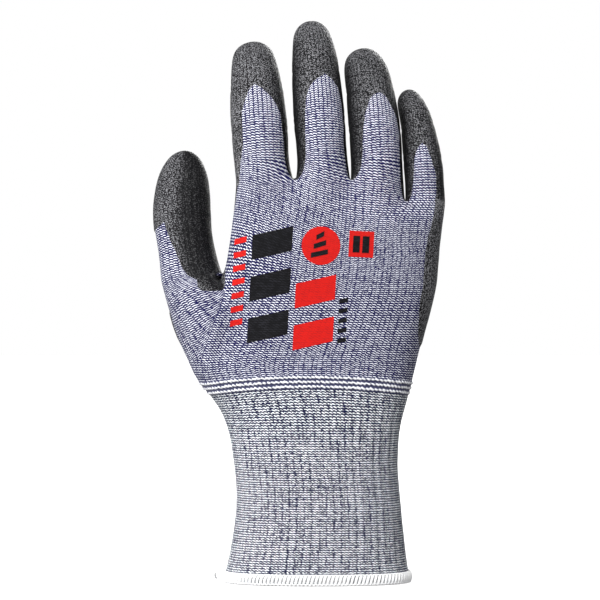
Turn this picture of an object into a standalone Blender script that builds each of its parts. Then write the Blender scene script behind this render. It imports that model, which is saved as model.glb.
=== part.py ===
"""Cut-resistant work glove: a seamless knitted liner dipped in polyurethane on the palm side.

The glove is for a right hand and stands on its cuff with the fingers up: -Y is the back of the
hand, +Y the palm and -X the thumb. The origin is the middle of the hand opening, at the hem.
Sizes are written in millimetres and become metres in metres(). One smooth form, the outside of
the liner, is cut along the lines where the glove folds. Each stretch between two folds is a
rigid node with its own wall, and each fold is a short node of its own.
"""

import math

import bmesh
import bpy
from mathutils import Matrix, Vector

# Walls and gaps
LINER_WALL = 1.1
COATING_GAP = 0.3
COATING_WALL = 0.4
PRINT_WALL = 0.3
CUT_GAP = 0.3

# Length of each fold along the glove, and the depth of a finger hinge inside the liner
FINGER_FOLD = 6.0
WRIST_FOLD = 16.0
HINGE_DEPTH = 2.5

# Heights of the cuff and palm
HEM_HEIGHT = 4.5
WRIST_HEIGHT = 57.0
WELT_HEIGHT = 87.5
COATING_HEM = 103.0
THUMB_LEVELS = (99.0, 115.0, 133.0)
SUBDIVISIONS = 1
CUFF_SIDES = 32
CUFF_STRETCH = 1.5

# Where the columns of the form stand across a section, as shares of its half width
COLUMNS = (-0.93, -0.73, -0.446, -0.16, 0.115, 0.342, 0.577, 0.77, 0.93)

# Sections of the cuff and palm: height, left, right, back, palm, squareness of the outline
SECTIONS = (
    (HEM_HEIGHT, -40.5, 41.4, -25.5, 25.5, 2.3),
    (16.0, -38.0, 39.8, -25.0, 25.0, 2.3),
    (34.0, -35.8, 38.3, -24.4, 24.4, 2.3),
    (52.0, -36.4, 36.6, -24.0, 24.0, 2.3),
    (68.0, -39.4, 37.6, -23.8, 24.2, 2.3),
    (80.0, -44.7, 40.2, -23.4, 25.2, 2.3),
    (90.0, -52.3, 43.1, -22.8, 26.2, 2.4),
    (99.0, -57.2, 45.4, -22.0, 26.8, 2.4),
    (115.0, -50.0, 49.4, -20.6, 25.8, 2.5),
    (133.0, -42.5, 53.5, -19.6, 22.0, 2.6),
    (150.0, -39.2, 55.0, -18.6, 17.6, 2.7),
    (165.0, -37.2, 56.9, -17.0, 14.0, 2.7),
)

# The rim of the hole that the thumb grows from, as a finger's ring is listed: left side, back
# left, back, back right, right side (the crotch), palm right, palm, palm left
THUMB_RIM = (
    (-57.4, 4.0, 99.0),
    (-51.2, -12.5, 101.0),
    (-46.5, -16.0, 115.0),
    (-41.0, -12.0, 131.0),
    (-42.3, 2.0, 136.0),
    (-38.2, 13.0, 131.6),
    (-44.5, 25.0, 115.0),
    (-48.5, 21.5, 100.0),
)

# The thumb: middle, width and thickness of each ring, then its tip. NAIL is the way it faces.
THUMB_RINGS = (
    ((-55.8, 6.6, 134.5), 27.2, 27.0),
    ((-58.2, 9.4, 145.0), 25.8, 25.4),
    ((-59.9, 12.0, 155.5), 25.6, 24.6),
    ((-60.9, 15.0, 166.0), 26.4, 24.6),
    ((-60.8, 18.0, 176.0), 25.4, 23.2),
    ((-60.3, 20.6, 184.8), 21.8, 19.4),
    ((-59.8, 22.0, 191.0), 14.4, 12.4),
)
THUMB_TIP = (-59.5, 23.0, 194.2)
NAIL = Vector((-0.74, -0.67, 0.0))
THUMB_FOLDS = (139.0, 163.0)
THUMB_ROOT_BULGE = 2.6
THUMB_WEB_RISE = 0.7
THUMB_ROOT_PLACE = 0.55

# Each finger: middle of its base, width, thickness, lengths from crotch to knuckle to knuckle to
# tip, how far each length curls to the palm and leans to the thumb in degrees
FINGERS = {
    "index": ((-23.7, -1.6, 178.5), 23.9, 22.0, (24.0, 22.5, 28.3), (8, 27, 41), (4, 4, 4)),
    "middle": ((3.7, -3.0, 179.5), 21.8, 22.4, (27.5, 26.5, 31.2), (9, 27, 41), (4, 4, 4)),
    "ring": ((27.7, -1.0, 179.0), 22.2, 21.2, (24.0, 23.0, 27.6), (12, 33, 46), (3, 4, 8)),
    "little": ((49.4, 3.4, 170.5), 16.6, 18.6, (19.5, 17.5, 23.0), (9, 28, 43), (3, 6, 12)),
}
# Along a finger: share of its length, width and thickness as shares of those at its base
FINGER_PROFILE = (
    (0.12, 1.0, 0.99),
    (0.31, 1.01, 0.96),
    (0.51, 0.985, 0.905),
    (0.70, 0.915, 0.83),
    (0.86, 0.80, 0.70),
    (0.95, 0.60, 0.48),
)
# How much narrower the little finger grows beyond a share of its length
LITTLE_TAPER = ((0.25, 0.0), (1.0, 0.20))
RING_SIDES = 8
KNUCKLE_SMOOTHING = 6.0
WALK_STEPS = 40
PLACE_STEPS = 24
FINGER_LEAN = 4.0
FIRST_FOLD = 6.0
FINGER_REACH = 12.0

# Coating: how far it comes round to the back at the little finger's side, by height
SIDE_BAND = ((103.0, 0.0), (112.0, 3.0), (125.0, 5.4), (150.0, 6.2), (165.0, 4.2), (173.0, 3.2))
PALM_EDGE = ((100.0, 6.0), (140.0, 3.0), (165.0, 0.5), (178.0, -4.4))
# The knitted window on the back of each finger: the angles of its left and right edges from the
# middle of the back in degrees, by share of the finger's length
WINDOWS = {
    "index": (
        ((0.0, -68), (0.08, -60), (0.24, -41), (0.42, -38), (0.515, -26), (0.56, -18), (0.584, -2)),
        ((0.0, 50), (0.06, 61), (0.24, 62), (0.44, 51), (0.515, 33), (0.56, 17), (0.584, -2)),
    ),
    "middle": (
        ((0.0, -44), (0.20, -43), (0.32, -38), (0.449, -30), (0.492, -20), (0.53, -6), (0.56, 20)),
        ((0.0, 50), (0.07, 66), (0.32, 74), (0.449, 68), (0.492, 62), (0.53, 47), (0.56, 20)),
    ),
    "ring": (
        ((0.0, -44), (0.10, -38), (0.30, -29), (0.41, -19), (0.476, -8), (0.509, 1), (0.531, 19)),
        ((0.0, 50), (0.10, 66), (0.30, 76), (0.40, 62), (0.476, 43), (0.509, 34), (0.531, 19)),
    ),
    "little": (
        ((0.0, -48), (0.175, -38), (0.313, -30), (0.381, -17), (0.415, 0)),
        ((0.0, 29), (0.175, 39), (0.313, 23), (0.381, 14), (0.415, 0)),
    ),
}
THUMB_WINDOW = (
    ((128.0, -130.0), (150.0, -118.0), (155.0, -80.0), (158.0, -42.0), (160.2, -7.0), (162.1, 8.0)),
    ((128.0, 80.0), (133.7, 52.0), (138.2, 42.0), (145.8, 32.0), (152.6, 20.0), (162.1, 8.0)),
)
# About how many millimetres of surface a degree round a finger or the thumb is, and how steeply
# the coating's edge runs across the end of a window
FINGER_DEGREE = 0.18
THUMB_DEGREE = 0.2
WINDOW_END = 30.0
THUMB_WINDOW_END = 0.8
EDGE_SNAP = 0.12
CROTCH_COATING_HEIGHT = 131.0
CROTCH_COATING_TOP = 139.5
CROTCH_COATING_TURN = 65.0
CROTCH_REACH = -42.4
COATING_BLEND = 4.0
COATING_HEM_BLEND = 6.0

PALM_MIDDLE = (0.0, 20.0, 120.0)

# Nodes that move with the hand itself
HAND_NODES = ("hand_", "palm_", "upper_cuff", "transition", "print_")

# Each moving stretch of a finger and of the thumb, the fold before it, and the joint's name
FINGER_LINKS = (
    ("base", "knuckle", "knuckle_joint"),
    ("middle", "middle_joint", "middle_joint"),
    ("tip", "end_joint", "end_joint"),
)
THUMB_LINKS = (("base", "base", "base_joint"), ("tip", "end_joint", "end_joint"))

# Marks printed on the back, all turned a little about one point. A slanted bar is listed as its
# left, right and lower edge, its height and how far its right end is raised.
MARK_LEAN = -3.0
MARK_PIVOT = (-9.0, 134.0)
BARS = {
    "print_black_bar": ((-29.4, -11.6, 106.5, 11.0, 5.0), 3),
    "print_red_bar": ((-9.0, 8.6, 104.5, 11.0, 5.0), 2),
}
BAR_PITCH = 18.6
BADGE = (13.6, 24.6, 147.4, 11.6, 0.0)
DISC = ((1.2, 151.6), 8.6)
DISC_SIDES = 24
PRINT_DEPTH = -30.0

# Hem, elastic thread and the raised courses between cuff and palm
HEM_WALL = 3.0
HEM_FLARE = 1.6
HEM_ROWS = ((0.0, 0.0), (1.2, 0.0), (2.8, 0.4), (HEM_HEIGHT - 0.3, 0.0))
HEM_TAIL = ((-43.7, 0.0, 3.2), (-44.8, 1.4, 4.2), (-45.6, 3.2, 3.4), (-45.4, 5.0, 2.0), (-44.9, 7.0, 1.2))
HEM_TAIL_RADIUS = 0.4
WELT_WIDTH = 6.6
WELT_RISE = 0.9
WELT_RIDGES = 3
ELASTIC_TURNS = 5
ELASTIC_FROM = 8.0
ELASTIC_TO = 44.0
ELASTIC_RADIUS = 0.45

COLOURS = {
    "knit": ((0.34, 0.35, 0.47), 0.85),
    "cuff_knit": ((0.46, 0.48, 0.56), 0.85),
    "coating": ((0.05, 0.05, 0.055), 0.6),
    "hem_thread": ((0.86, 0.87, 0.87), 0.8),
    "elastic": ((0.7, 0.7, 0.68), 0.6),
    "black_print": ((0.012, 0.012, 0.014), 0.5),
    "red_print": ((0.75, 0.03, 0.03), 0.5),
}


def metres(point):
    """A point or a length given in millimetres, in metres."""
    if isinstance(point, (int, float)):
        return point * 0.001
    return Vector(point) * 0.001


def interpolated(table, at):
    """The value at a place in a table of (place, value) rows."""
    if at <= table[0][0]:
        return table[0][1]
    for (a, left), (b, right) in zip(table, table[1:]):
        if at <= b:
            return left + (right - left) * (at - a) / (b - a)
    return table[-1][1]


# --- The form: a coarse cage whose smooth surface passes through its own points ---


def section_point(section, share, side):
    """A point of a cuff or palm section. side is -1 on the back, +1 on the palm, 0 at an edge."""
    height, left, right, back, palm, square = section
    x = (left + right) / 2 + (right - left) / 2 * share
    bulge = (1 - abs(share) ** square) ** (1 / square)
    y = (back + palm) / 2 + (palm - back) / 2 * side * bulge
    return Vector((x, y, height))


def section_ring(section):
    """One section's twenty points: left edge, back from left to right, right edge, palm back."""
    ring = [section_point(section, -1, 0)]
    ring += [section_point(section, share, -1) for share in COLUMNS]
    ring.append(section_point(section, 1, 0))
    ring += [section_point(section, share, 1) for share in reversed(COLUMNS)]
    return ring


def oval_ring(middle, right, palm, width, thickness):
    """Eight points round a finger: left side, over the back to the right side, and back."""
    ring = []
    for step in range(RING_SIDES):
        angle = math.pi + step * 2 * math.pi / RING_SIDES
        across = right * (width / 2 * math.cos(angle))
        ring.append(Vector(middle) + across + palm * (thickness / 2 * math.sin(angle)))
    return ring


def finger_directions(name):
    """The three straight directions of a finger."""
    _, _, _, _, curls, leans = FINGERS[name]
    found = []
    for curl, lean in zip(curls, leans):
        a, b = math.radians(curl), math.radians(lean)
        found.append(Vector((-math.sin(b), math.sin(a) * math.cos(b), math.cos(a) * math.cos(b))))
    return found


def finger_place(name, along):
    """(middle, direction) of a finger at a distance from its base, smooth over its knuckles."""
    base, _, _, lengths, _, _ = FINGERS[name]
    directions = finger_directions(name)
    place, smooth = Vector(base), KNUCKLE_SMOOTHING
    knuckles = (lengths[0], lengths[0] + lengths[1])
    direction = directions[0]
    for step in range(WALK_STEPS):
        s = along * (step + 0.5) / WALK_STEPS
        direction = directions[0].copy()
        for knuckle, before, after in zip(knuckles, directions, directions[1:]):
            share = min(1.0, max(0.0, (s - knuckle + smooth) / (2 * smooth)))
            direction += (after - before) * share * share * (3 - 2 * share)
        direction.normalize()
        place += direction * (along / WALK_STEPS)
    return place, direction


def finger_frame(direction):
    """(right, palm) across a finger's direction."""
    right = Vector((1, 0, 0))
    right = (right - direction * right.dot(direction)).normalized()
    return right, direction.cross(right)


def finger_ring_points(name, share, width_share, thickness_share):
    _, width, thickness, lengths, _, _ = FINGERS[name]
    if name == "little":
        width *= 1 - interpolated(LITTLE_TAPER, share)
    middle, direction = finger_place(name, share * sum(lengths))
    right, palm = finger_frame(direction)
    return oval_ring(middle, right, palm, width * width_share, thickness * thickness_share)


def thumb_frame(direction):
    palm = -NAIL.normalized()
    palm = (palm - direction * palm.dot(direction)).normalized()
    return palm.cross(direction), palm


def thumb_rings():
    middles = [Vector(middle) for middle, _, _ in THUMB_RINGS] + [Vector(THUMB_TIP)]
    found = []
    for (_, width, thickness), middle, following in zip(THUMB_RINGS, middles, middles[1:]):
        right, palm = thumb_frame((following - middle).normalized())
        found.append(oval_ring(middle, right, palm, width, thickness))
    return found


class Cage:
    """The quads of the form. ring() adds a ring of points, tube() joins two rings."""

    def __init__(self):
        self.points, self.faces = [], []

    def add(self, point):
        self.points.append(Vector(point))
        return len(self.points) - 1

    def ring(self, points):
        return [self.add(point) for point in points]

    def tube(self, lower, upper, skipped=()):
        for i in range(len(lower)):
            j = (i + 1) % len(lower)
            if i not in skipped:
                self.faces.append((lower[i], lower[j], upper[j], upper[i]))

    def cap(self, ring, tip):
        end = self.add(tip)
        for i in range(0, len(ring), 2):
            j, k = (i + 1) % len(ring), (i + 2) % len(ring)
            self.faces.append((end, ring[i], ring[j], ring[k]))


def palm_rows(cage):
    """The sections as rings. The thumb's rim takes the left edge's place at its three levels."""
    rows = []
    for section in SECTIONS:
        points = section_ring(section)
        rows.append([None if i == 0 and section[0] == THUMB_LEVELS[1] else cage.add(p)
                     for i, p in enumerate(points)])
    heights = [section[0] for section in SECTIONS]
    low, mid, high = (rows[heights.index(level)] for level in THUMB_LEVELS)
    last = len(low) - 1
    rim = [low[0], low[1], mid[1], high[1], high[0], high[last], mid[last], low[last]]
    for index, point in zip(rim, THUMB_RIM):
        cage.points[index] = Vector(point)
    for lower, upper in zip(rows, rows[1:]):
        open_side = lower is low or lower is mid
        cage.tube(lower, upper, skipped=(0, last) if open_side else ())
    return rows, rim


def finger_bases(cage):
    """The ring at each finger's base. Neighbouring rings share the three points of a crotch."""
    names = list(FINGERS)
    wanted = {name: finger_ring_points(name, 0.0, 1.0, 1.0) for name in names}
    rings = {name: [None] * RING_SIDES for name in names}
    for name, following in zip(names, names[1:]):
        for right_side, left_side in ((4, 0), (3, 1), (5, 7)):
            middle = (wanted[name][right_side] + wanted[following][left_side]) / 2
            middle.z = min(wanted[name][right_side].z, wanted[following][left_side].z)
            shared = cage.add(middle)
            rings[name][right_side] = rings[following][left_side] = shared
    for name in names:
        for i, point in enumerate(wanted[name]):
            if rings[name][i] is None:
                rings[name][i] = cage.add(point)
    return rings


def top_row(rings):
    """The finger bases as the last of the palm's rings, with the crotches' middles left out."""
    names = list(FINGERS)
    back, palm = [], []
    for name in names:
        back += rings[name][1:3]
        palm += [rings[name][7], rings[name][6]]
    back.append(rings[names[-1]][3])
    palm.append(rings[names[-1]][5])
    return [rings[names[0]][0]] + back + [rings[names[-1]][4]] + palm[::-1]


def glove_cage():
    cage = Cage()
    rows, rim = palm_rows(cage)
    rings = finger_bases(cage)
    cage.tube(rows[-1], top_row(rings))
    for name in FINGERS:
        ring = rings[name]
        for share, width_share, thickness_share in FINGER_PROFILE:
            points = finger_ring_points(name, share, width_share, thickness_share)
            ring, below = cage.ring(points), ring
            cage.tube(below, ring)
        cage.cap(ring, finger_place(name, sum(FINGERS[name][3]))[0])
    rings = thumb_rings()
    root = [cage.points[i].lerp(point, THUMB_ROOT_PLACE) for i, point in zip(rim, rings[0])]
    centre = sum(root, Vector()) / len(root)
    for i, point in enumerate(root):
        outer_side = 0.5 + 0.5 * math.cos(2 * math.pi * i / RING_SIDES)
        root[i] = point + (point - centre).normalized() * THUMB_ROOT_BULGE * outer_side
        root[i].z += THUMB_WEB_RISE * (1 - outer_side)
    ring = rim
    for points in [root] + rings:
        ring, below = cage.ring(points), ring
        cage.tube(below, ring)
    cage.cap(ring, THUMB_TIP)
    return cage


def limit_points(points, faces):
    """Where each cage point lands on the subdivision surface."""
    spokes = [set() for _ in points]
    corners = [Vector() for _ in points]
    uses = {}
    for face in faces:
        for i, here in enumerate(face):
            following, across = face[(i + 1) % 4], face[(i + 2) % 4]
            spokes[here].update((following, face[i - 1]))
            corners[here] += points[across]
            edge = tuple(sorted((here, following)))
            uses[edge] = uses.get(edge, 0) + 1
    rim = {}
    for (a, b), count in uses.items():
        if count == 1:
            rim.setdefault(a, []).append(b)
            rim.setdefault(b, []).append(a)
    landed = []
    for i, point in enumerate(points):
        if i in rim:
            landed.append((point * 4 + points[rim[i][0]] + points[rim[i][1]]) / 6)
            continue
        n = len(spokes[i])
        around = sum((points[j] for j in spokes[i]), Vector())
        landed.append((point * n * n + around * 4 + corners[i]) / (n * (n + 5)))
    return landed


def form_object():
    """The outside of the liner as a smooth open surface. It is a guide, and not a node."""
    cage = glove_cage()
    points = [point.copy() for point in cage.points]
    for _ in range(6):
        landed = limit_points(points, cage.faces)
        points = [p + (want - got) * 0.8 for p, want, got in zip(points, cage.points, landed)]
    mesh = bpy.data.meshes.new("glove_form")
    mesh.from_pydata([metres(p) for p in points], [], cage.faces)
    form = bpy.data.objects.new("glove_form", mesh)
    form.hide_render = True
    form.display_type = "WIRE"
    guides.objects.link(form)
    smooth = form.modifiers.new("smooth", "SUBSURF")
    smooth.levels = smooth.render_levels = SUBDIVISIONS
    smooth.boundary_smooth = "ALL"
    bpy.context.view_layer.update()
    return form


# --- Cutting the form into stretches ---


def form_mesh(form):
    graph = bpy.context.evaluated_depsgraph_get()
    mesh = bmesh.new()
    mesh.from_mesh(form.evaluated_get(graph).to_mesh())
    bmesh.ops.recalc_face_normals(mesh, faces=mesh.faces)
    return mesh


def keep_above(mesh, point, normal):
    """Cuts the surface with a plane and keeps what lies on the normal's side."""
    geometry = mesh.verts[:] + mesh.edges[:] + mesh.faces[:]
    bmesh.ops.bisect_plane(
        mesh, geom=geometry, plane_co=metres(point), plane_no=normal, clear_inner=True, dist=1e-7
    )


def keep_island(mesh, near):
    """Keeps only the connected part of the surface nearest to a point."""
    mesh.verts.ensure_lookup_table()
    goal = metres(near)
    start = min(mesh.verts, key=lambda v: (v.co - goal).length_squared)
    found, waiting = {start}, [start]
    while waiting:
        for edge in waiting.pop().link_edges:
            for vert in edge.verts:
                if vert not in found:
                    found.add(vert)
                    waiting.append(vert)
    bmesh.ops.delete(mesh, geom=[v for v in mesh.verts if v not in found], context="VERTS")


def keep_where(mesh, field):
    """Cuts the surface along the line where field(point in mm) is zero and keeps the positive."""
    values = {}
    for vert in mesh.verts:
        value = field(vert.co * 1000)
        values[vert] = 0.0 if abs(value) < EDGE_SNAP else value
    for edge in list(mesh.edges):
        a, b = edge.verts
        if values[a] * values[b] < 0:
            share = values[a] / (values[a] - values[b])
            _, vert = bmesh.utils.edge_split(edge, a, share)
            values[vert] = 0.0
    for face in list(mesh.faces):
        on_line = [vert for vert in face.verts if values[vert] == 0.0]
        signs = {values[vert] > 0 for vert in face.verts if values[vert] != 0.0}
        if len(on_line) == 2 and len(signs) == 2:
            bmesh.utils.face_split(face, on_line[0], on_line[1])
    outside = [f for f in mesh.faces if sum(values[v] for v in f.verts) <= 0]
    bmesh.ops.delete(mesh, geom=outside, context="FACES")
    loose = [v for v in mesh.verts if not v.link_faces]
    bmesh.ops.delete(mesh, geom=loose, context="VERTS")


class Fold:
    """A place where the glove folds: a point, the direction of the glove there, the fold's half
    length, and the hinge's axis and position."""

    def __init__(self, point, direction, length, axis, hinge):
        self.point, self.direction = Vector(point), direction.normalized()
        self.half, self.axis, self.hinge = length / 2, axis, hinge

    def palm_side(self, following):
        """A point on the palm side, half way to the following fold."""
        return self.hinge.lerp(following.hinge, 0.5)

    def before(self):
        return self.point - self.direction * self.half, -self.direction

    def after(self):
        return self.point + self.direction * self.half, self.direction

    def inner_start(self):
        return self.point - self.direction * (self.half - CUT_GAP), self.direction

    def inner_end(self):
        return self.point + self.direction * (self.half - CUT_GAP), -self.direction


def palm_side_depth(form, middle, palm):
    """How far the form's surface lies from a finger's middle on the palm side."""
    origin = metres(middle)
    _, place, _, _ = form.ray_cast(origin, palm)
    return (place - origin).length * 1000


def finger_folds(form, name):
    """The three folds of a finger. Their hinges lie across the hand, near the palm side."""
    lengths = FINGERS[name][3]
    folds = []
    lean = math.radians(FINGER_LEAN)
    axis = Vector((-math.cos(lean), 0, -math.sin(lean)))
    for along in (FIRST_FOLD, lengths[0], lengths[0] + lengths[1]):
        middle, direction = finger_place(name, along)
        flat = (direction - axis * direction.dot(axis)).normalized()
        palm = flat.cross(-axis).normalized()
        hinge = middle + palm * (palm_side_depth(form, middle, palm) - HINGE_DEPTH)
        folds.append(Fold(middle, flat, FINGER_FOLD, axis, hinge))
    return folds


def thumb_folds(form):
    folds = []
    middles = [Vector(middle) for middle, _, _ in THUMB_RINGS]
    for height in THUMB_FOLDS:
        above = next(i for i, m in enumerate(middles) if m.z > height)
        low, high = middles[above - 1], middles[above]
        middle = low.lerp(high, (height - low.z) / (high.z - low.z))
        direction = (high - low).normalized()
        _, palm = thumb_frame(direction)
        hinge = middle + palm * (palm_side_depth(form, middle, palm) - HINGE_DEPTH)
        folds.append(Fold(middle, direction, FINGER_FOLD, direction.cross(palm), hinge))
    return folds


def wrist_fold():
    point = Vector((0.3, 0, WRIST_HEIGHT))
    return Fold(point, Vector((0, 0, 1)), WRIST_FOLD, Vector((-1, 0, 0)), point)


# --- Where the coating lies ---


def smooth_least(a, b, width):
    share = max(0.0, width - abs(a - b)) / width
    return min(a, b) - share * share * width / 4


def nearest_along(name, point):
    """(share of the finger's length, middle, direction) of a finger nearest to a point."""
    def gap(step):
        middle, direction = places[name][step]
        return abs((point - middle).dot(direction))

    step = min(range(PLACE_STEPS + 1), key=gap)
    middle, direction = places[name][step]
    share = step / PLACE_STEPS + (point - middle).dot(direction) / sum(FINGERS[name][3])
    return share, middle, direction


def finger_coating(name):
    """Positive where a finger is coated: all but a window on its back."""
    left, right = WINDOWS[name]

    def field(point):
        share, middle, direction = nearest_along(name, point)
        across, palm = finger_frame(direction)
        out = point - middle
        angle = math.degrees(math.atan2(out.dot(across), -out.dot(palm)))
        inside = min(angle - interpolated(left, share), interpolated(right, share) - angle)
        return max(-inside * FINGER_DEGREE, (share - left[-1][0]) * WINDOW_END)

    return field


def thumb_angle(point):
    """The angle round the thumb from the middle of its back, in degrees, negative on the left."""
    middles = [Vector(m) for m, _, _ in THUMB_RINGS] + [Vector(THUMB_TIP)]
    above = next((i for i, m in enumerate(middles) if m.z > point.z), len(middles) - 1)
    above = max(above, 1)
    low, high = middles[above - 1], middles[above]
    share = min(1.0, max(0.0, (point.z - low.z) / (high.z - low.z)))
    middle, direction = low.lerp(high, share), (high - low).normalized()
    right, palm = thumb_frame(direction)
    out = point - middle
    return math.degrees(math.atan2(out.dot(right), -out.dot(palm)))


def thumb_coating(point):
    left, right = THUMB_WINDOW
    angle = thumb_angle(point)
    inside = min(angle - interpolated(left, point.z), interpolated(right, point.z) - angle)
    return max(-inside * THUMB_DEGREE, (point.z - left[-1][0]) * THUMB_WINDOW_END)


def palm_coating(point):
    """Positive on the palm, round the little finger's side and over the thumb's crotch."""
    edge = interpolated([(s[0], s[2]) for s in SECTIONS], point.z)
    side = point.x - (edge - interpolated(SIDE_BAND, point.z))
    covered = max(point.y - interpolated(PALM_EDGE, point.z), side)
    reach = CROTCH_REACH - point.x
    if reach > 0:
        crotch = smooth_least(point.z - CROTCH_COATING_HEIGHT, reach, COATING_BLEND)
        crotch = min(crotch, CROTCH_COATING_TOP - point.z)
        turned = (abs(thumb_angle(point)) - CROTCH_COATING_TURN) * THUMB_DEGREE
        covered = max(covered, min(crotch, turned))
    return smooth_least(covered, point.z - COATING_HEM, COATING_HEM_BLEND)


# --- Nodes ---


def material(name):
    found = bpy.data.materials.get(name)
    if found:
        return found
    colour, roughness = COLOURS[name]
    found = bpy.data.materials.new(name)
    found.use_nodes = True
    shader = found.node_tree.nodes["Principled BSDF"]
    shader.inputs["Base Color"].default_value = (*colour, 1)
    shader.inputs["Roughness"].default_value = roughness
    found.diffuse_color = (*colour, 1)
    return found


def node_object(name, mesh, finish):
    """Makes a named object of a bmesh, shaded smooth, and frees the bmesh."""
    data = bpy.data.meshes.new(name)
    mesh.to_mesh(data)
    mesh.free()
    data.materials.append(material(finish))
    data.shade_smooth()
    found = bpy.data.objects.new(name, data)
    glove.objects.link(found)
    return found


def wall_node(name, mesh, finish, thickness=LINER_WALL, lift=0.0, outward=False):
    """A node of a surface, given a wall that grows inwards, or outwards from a raised surface."""
    found = node_object(name, mesh, finish)
    if lift:
        raised = found.modifiers.new("raised", "DISPLACE")
        raised.mid_level = 0.0
        raised.strength = metres(lift)
    wall = found.modifiers.new("wall", "SOLIDIFY")
    wall.thickness = metres(thickness)
    wall.offset = 1.0 if outward else -1.0
    return found


def stretch(form, cuts, near):
    """The part of the form that lies on the kept side of every cut and near a point."""
    mesh = form_mesh(form)
    for point, normal in cuts:
        keep_above(mesh, point, normal)
    keep_island(mesh, near)
    return mesh


def add_stretch(form, name, cuts, near, finish="knit", coating=None):
    """A liner node and, where there is a coating field, the coating node over it."""
    label = name if name.endswith("_fold") else name + "_knit"
    wall_node(label, stretch(form, cuts, near), finish)
    if coating:
        mesh = stretch(form, cuts, near)
        keep_where(mesh, coating)
        keep_island(mesh, near)
        wall_node(name + "_coating", mesh, "coating", COATING_WALL, COATING_GAP, outward=True)


def add_fingers(form, folds):
    for name in FINGERS:
        first, second, third = folds[name]
        tip = finger_place(name, sum(FINGERS[name][3]))[0]
        coating = finger_coating(name)
        for (_, label, _), fold in zip(FINGER_LINKS, folds[name]):
            cuts = (fold.inner_start(), fold.inner_end())
            finish = "coating" if label == "end_joint" else "knit"
            add_stretch(form, f"{name}_{label}_fold", cuts, fold.hinge, finish)
        add_stretch(form, f"{name}_base", (first.after(), second.before()),
                    first.palm_side(second), coating=coating)
        add_stretch(form, f"{name}_middle", (second.after(), third.before()),
                    second.palm_side(third), coating=coating)
        add_stretch(form, f"{name}_tip", (third.after(),), tip, coating=coating)


def add_thumb(form, folds):
    first, second = folds["thumb"]
    for (_, label, _), fold in zip(THUMB_LINKS, folds["thumb"]):
        cuts = (fold.inner_start(), fold.inner_end())
        add_stretch(form, f"thumb_{label}_fold", cuts, fold.point)
    add_stretch(form, "thumb_base", (first.after(), second.before()),
                first.palm_side(second), coating=thumb_coating)
    add_stretch(form, "thumb_tip", (second.after(),), THUMB_TIP, coating=thumb_coating)


def nearest_finger(point):
    """The finger whose base, carried along the fingers' lean, a point is nearest to."""
    def share_of_width(name):
        base, width = Vector(FINGERS[name][0]), FINGERS[name][1]
        across = point.x + (point.z - base.z) * math.tan(math.radians(FINGER_LEAN))
        return abs(across - base.x) / width

    return min(FINGERS, key=share_of_width)


def part_at(mesh, faces, cut):
    """Parts the surface along a plane, but only through the given faces."""
    point, normal = cut
    items = set(faces)
    for face in faces:
        items.update(face.verts)
        items.update(face.edges)
    made = bmesh.ops.bisect_plane(
        mesh, geom=list(items), plane_co=metres(point), plane_no=normal, dist=1e-7
    )
    line = [item for item in made["geom_cut"] if isinstance(item, bmesh.types.BMEdge)]
    bmesh.ops.split_edges(mesh, edges=line)


def hand_mesh(form, folds, low):
    """The palm and back of the hand above a height, less the fingers and thumb."""
    mesh = form_mesh(form)
    keep_above(mesh, (0, 0, low), Vector((0, 0, 1)))
    bmesh.ops.triangulate(mesh, faces=mesh.faces)
    for name in FINGERS:
        cut = folds[name][0].before()
        root, faces = cut[0].z - FINGER_REACH, []
        for face in mesh.faces:
            centre = face.calc_center_median() * 1000
            if centre.z > root and nearest_finger(centre) == name:
                faces.append(face)
        part_at(mesh, faces, cut)
    web = metres(THUMB_RIM[4][0])
    faces = [face for face in mesh.faces if face.calc_center_median().x < web]
    part_at(mesh, faces, folds["thumb"][0].before())
    keep_island(mesh, PALM_MIDDLE)
    return mesh


def add_hand(form, folds):
    low = WELT_HEIGHT + WELT_WIDTH / 2 + CUT_GAP
    wall_node("hand_knit", hand_mesh(form, folds, low), "knit")
    mesh = hand_mesh(form, folds, low)
    keep_where(mesh, palm_coating)
    keep_island(mesh, PALM_MIDDLE)
    wall_node("palm_coating", mesh, "coating", COATING_WALL, COATING_GAP, outward=True)


def outline(form, height):
    """Points round the form at a height, evenly turned about its middle, and the way out."""
    ring = []
    for step in range(CUFF_SIDES):
        angle = 2 * math.pi * step / CUFF_SIDES
        way = Vector((math.cos(angle) * CUFF_STRETCH, math.sin(angle), 0)).normalized()
        start = metres((0, 0, height))
        _, place, _, _ = form.ray_cast(start, way)
        ring.append(place * 1000)
    found = []
    for i, point in enumerate(ring):
        along = ring[(i + 1) % CUFF_SIDES] - ring[i - 1]
        found.append((point, Vector((along.y, -along.x, 0)).normalized()))
    return found


def loft_node(name, rows, finish, thickness):
    """A wall through rings round the hand. rows are (ring, height, rise of the outside)."""
    mesh = bmesh.new()
    rings = []
    for ring, height, rise in rows:
        places = [point + out * rise for point, out in ring]
        rings.append([mesh.verts.new(metres((p.x, p.y, height))) for p in places])
    for lower, upper in zip(rings, rings[1:]):
        for i in range(CUFF_SIDES):
            j = (i + 1) % CUFF_SIDES
            mesh.faces.new((lower[i], lower[j], upper[j], upper[i]))
    wall_node(name, mesh, finish, thickness)


def add_sleeve(form, name, low, high, spans):
    """A plain length of the cuff, in a number of equal spans."""
    heights = [low + (high - low) * i / spans for i in range(spans + 1)]
    rows = [(outline(form, height), height, 0.0) for height in heights]
    loft_node(name, rows, "cuff_knit", LINER_WALL)


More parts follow.
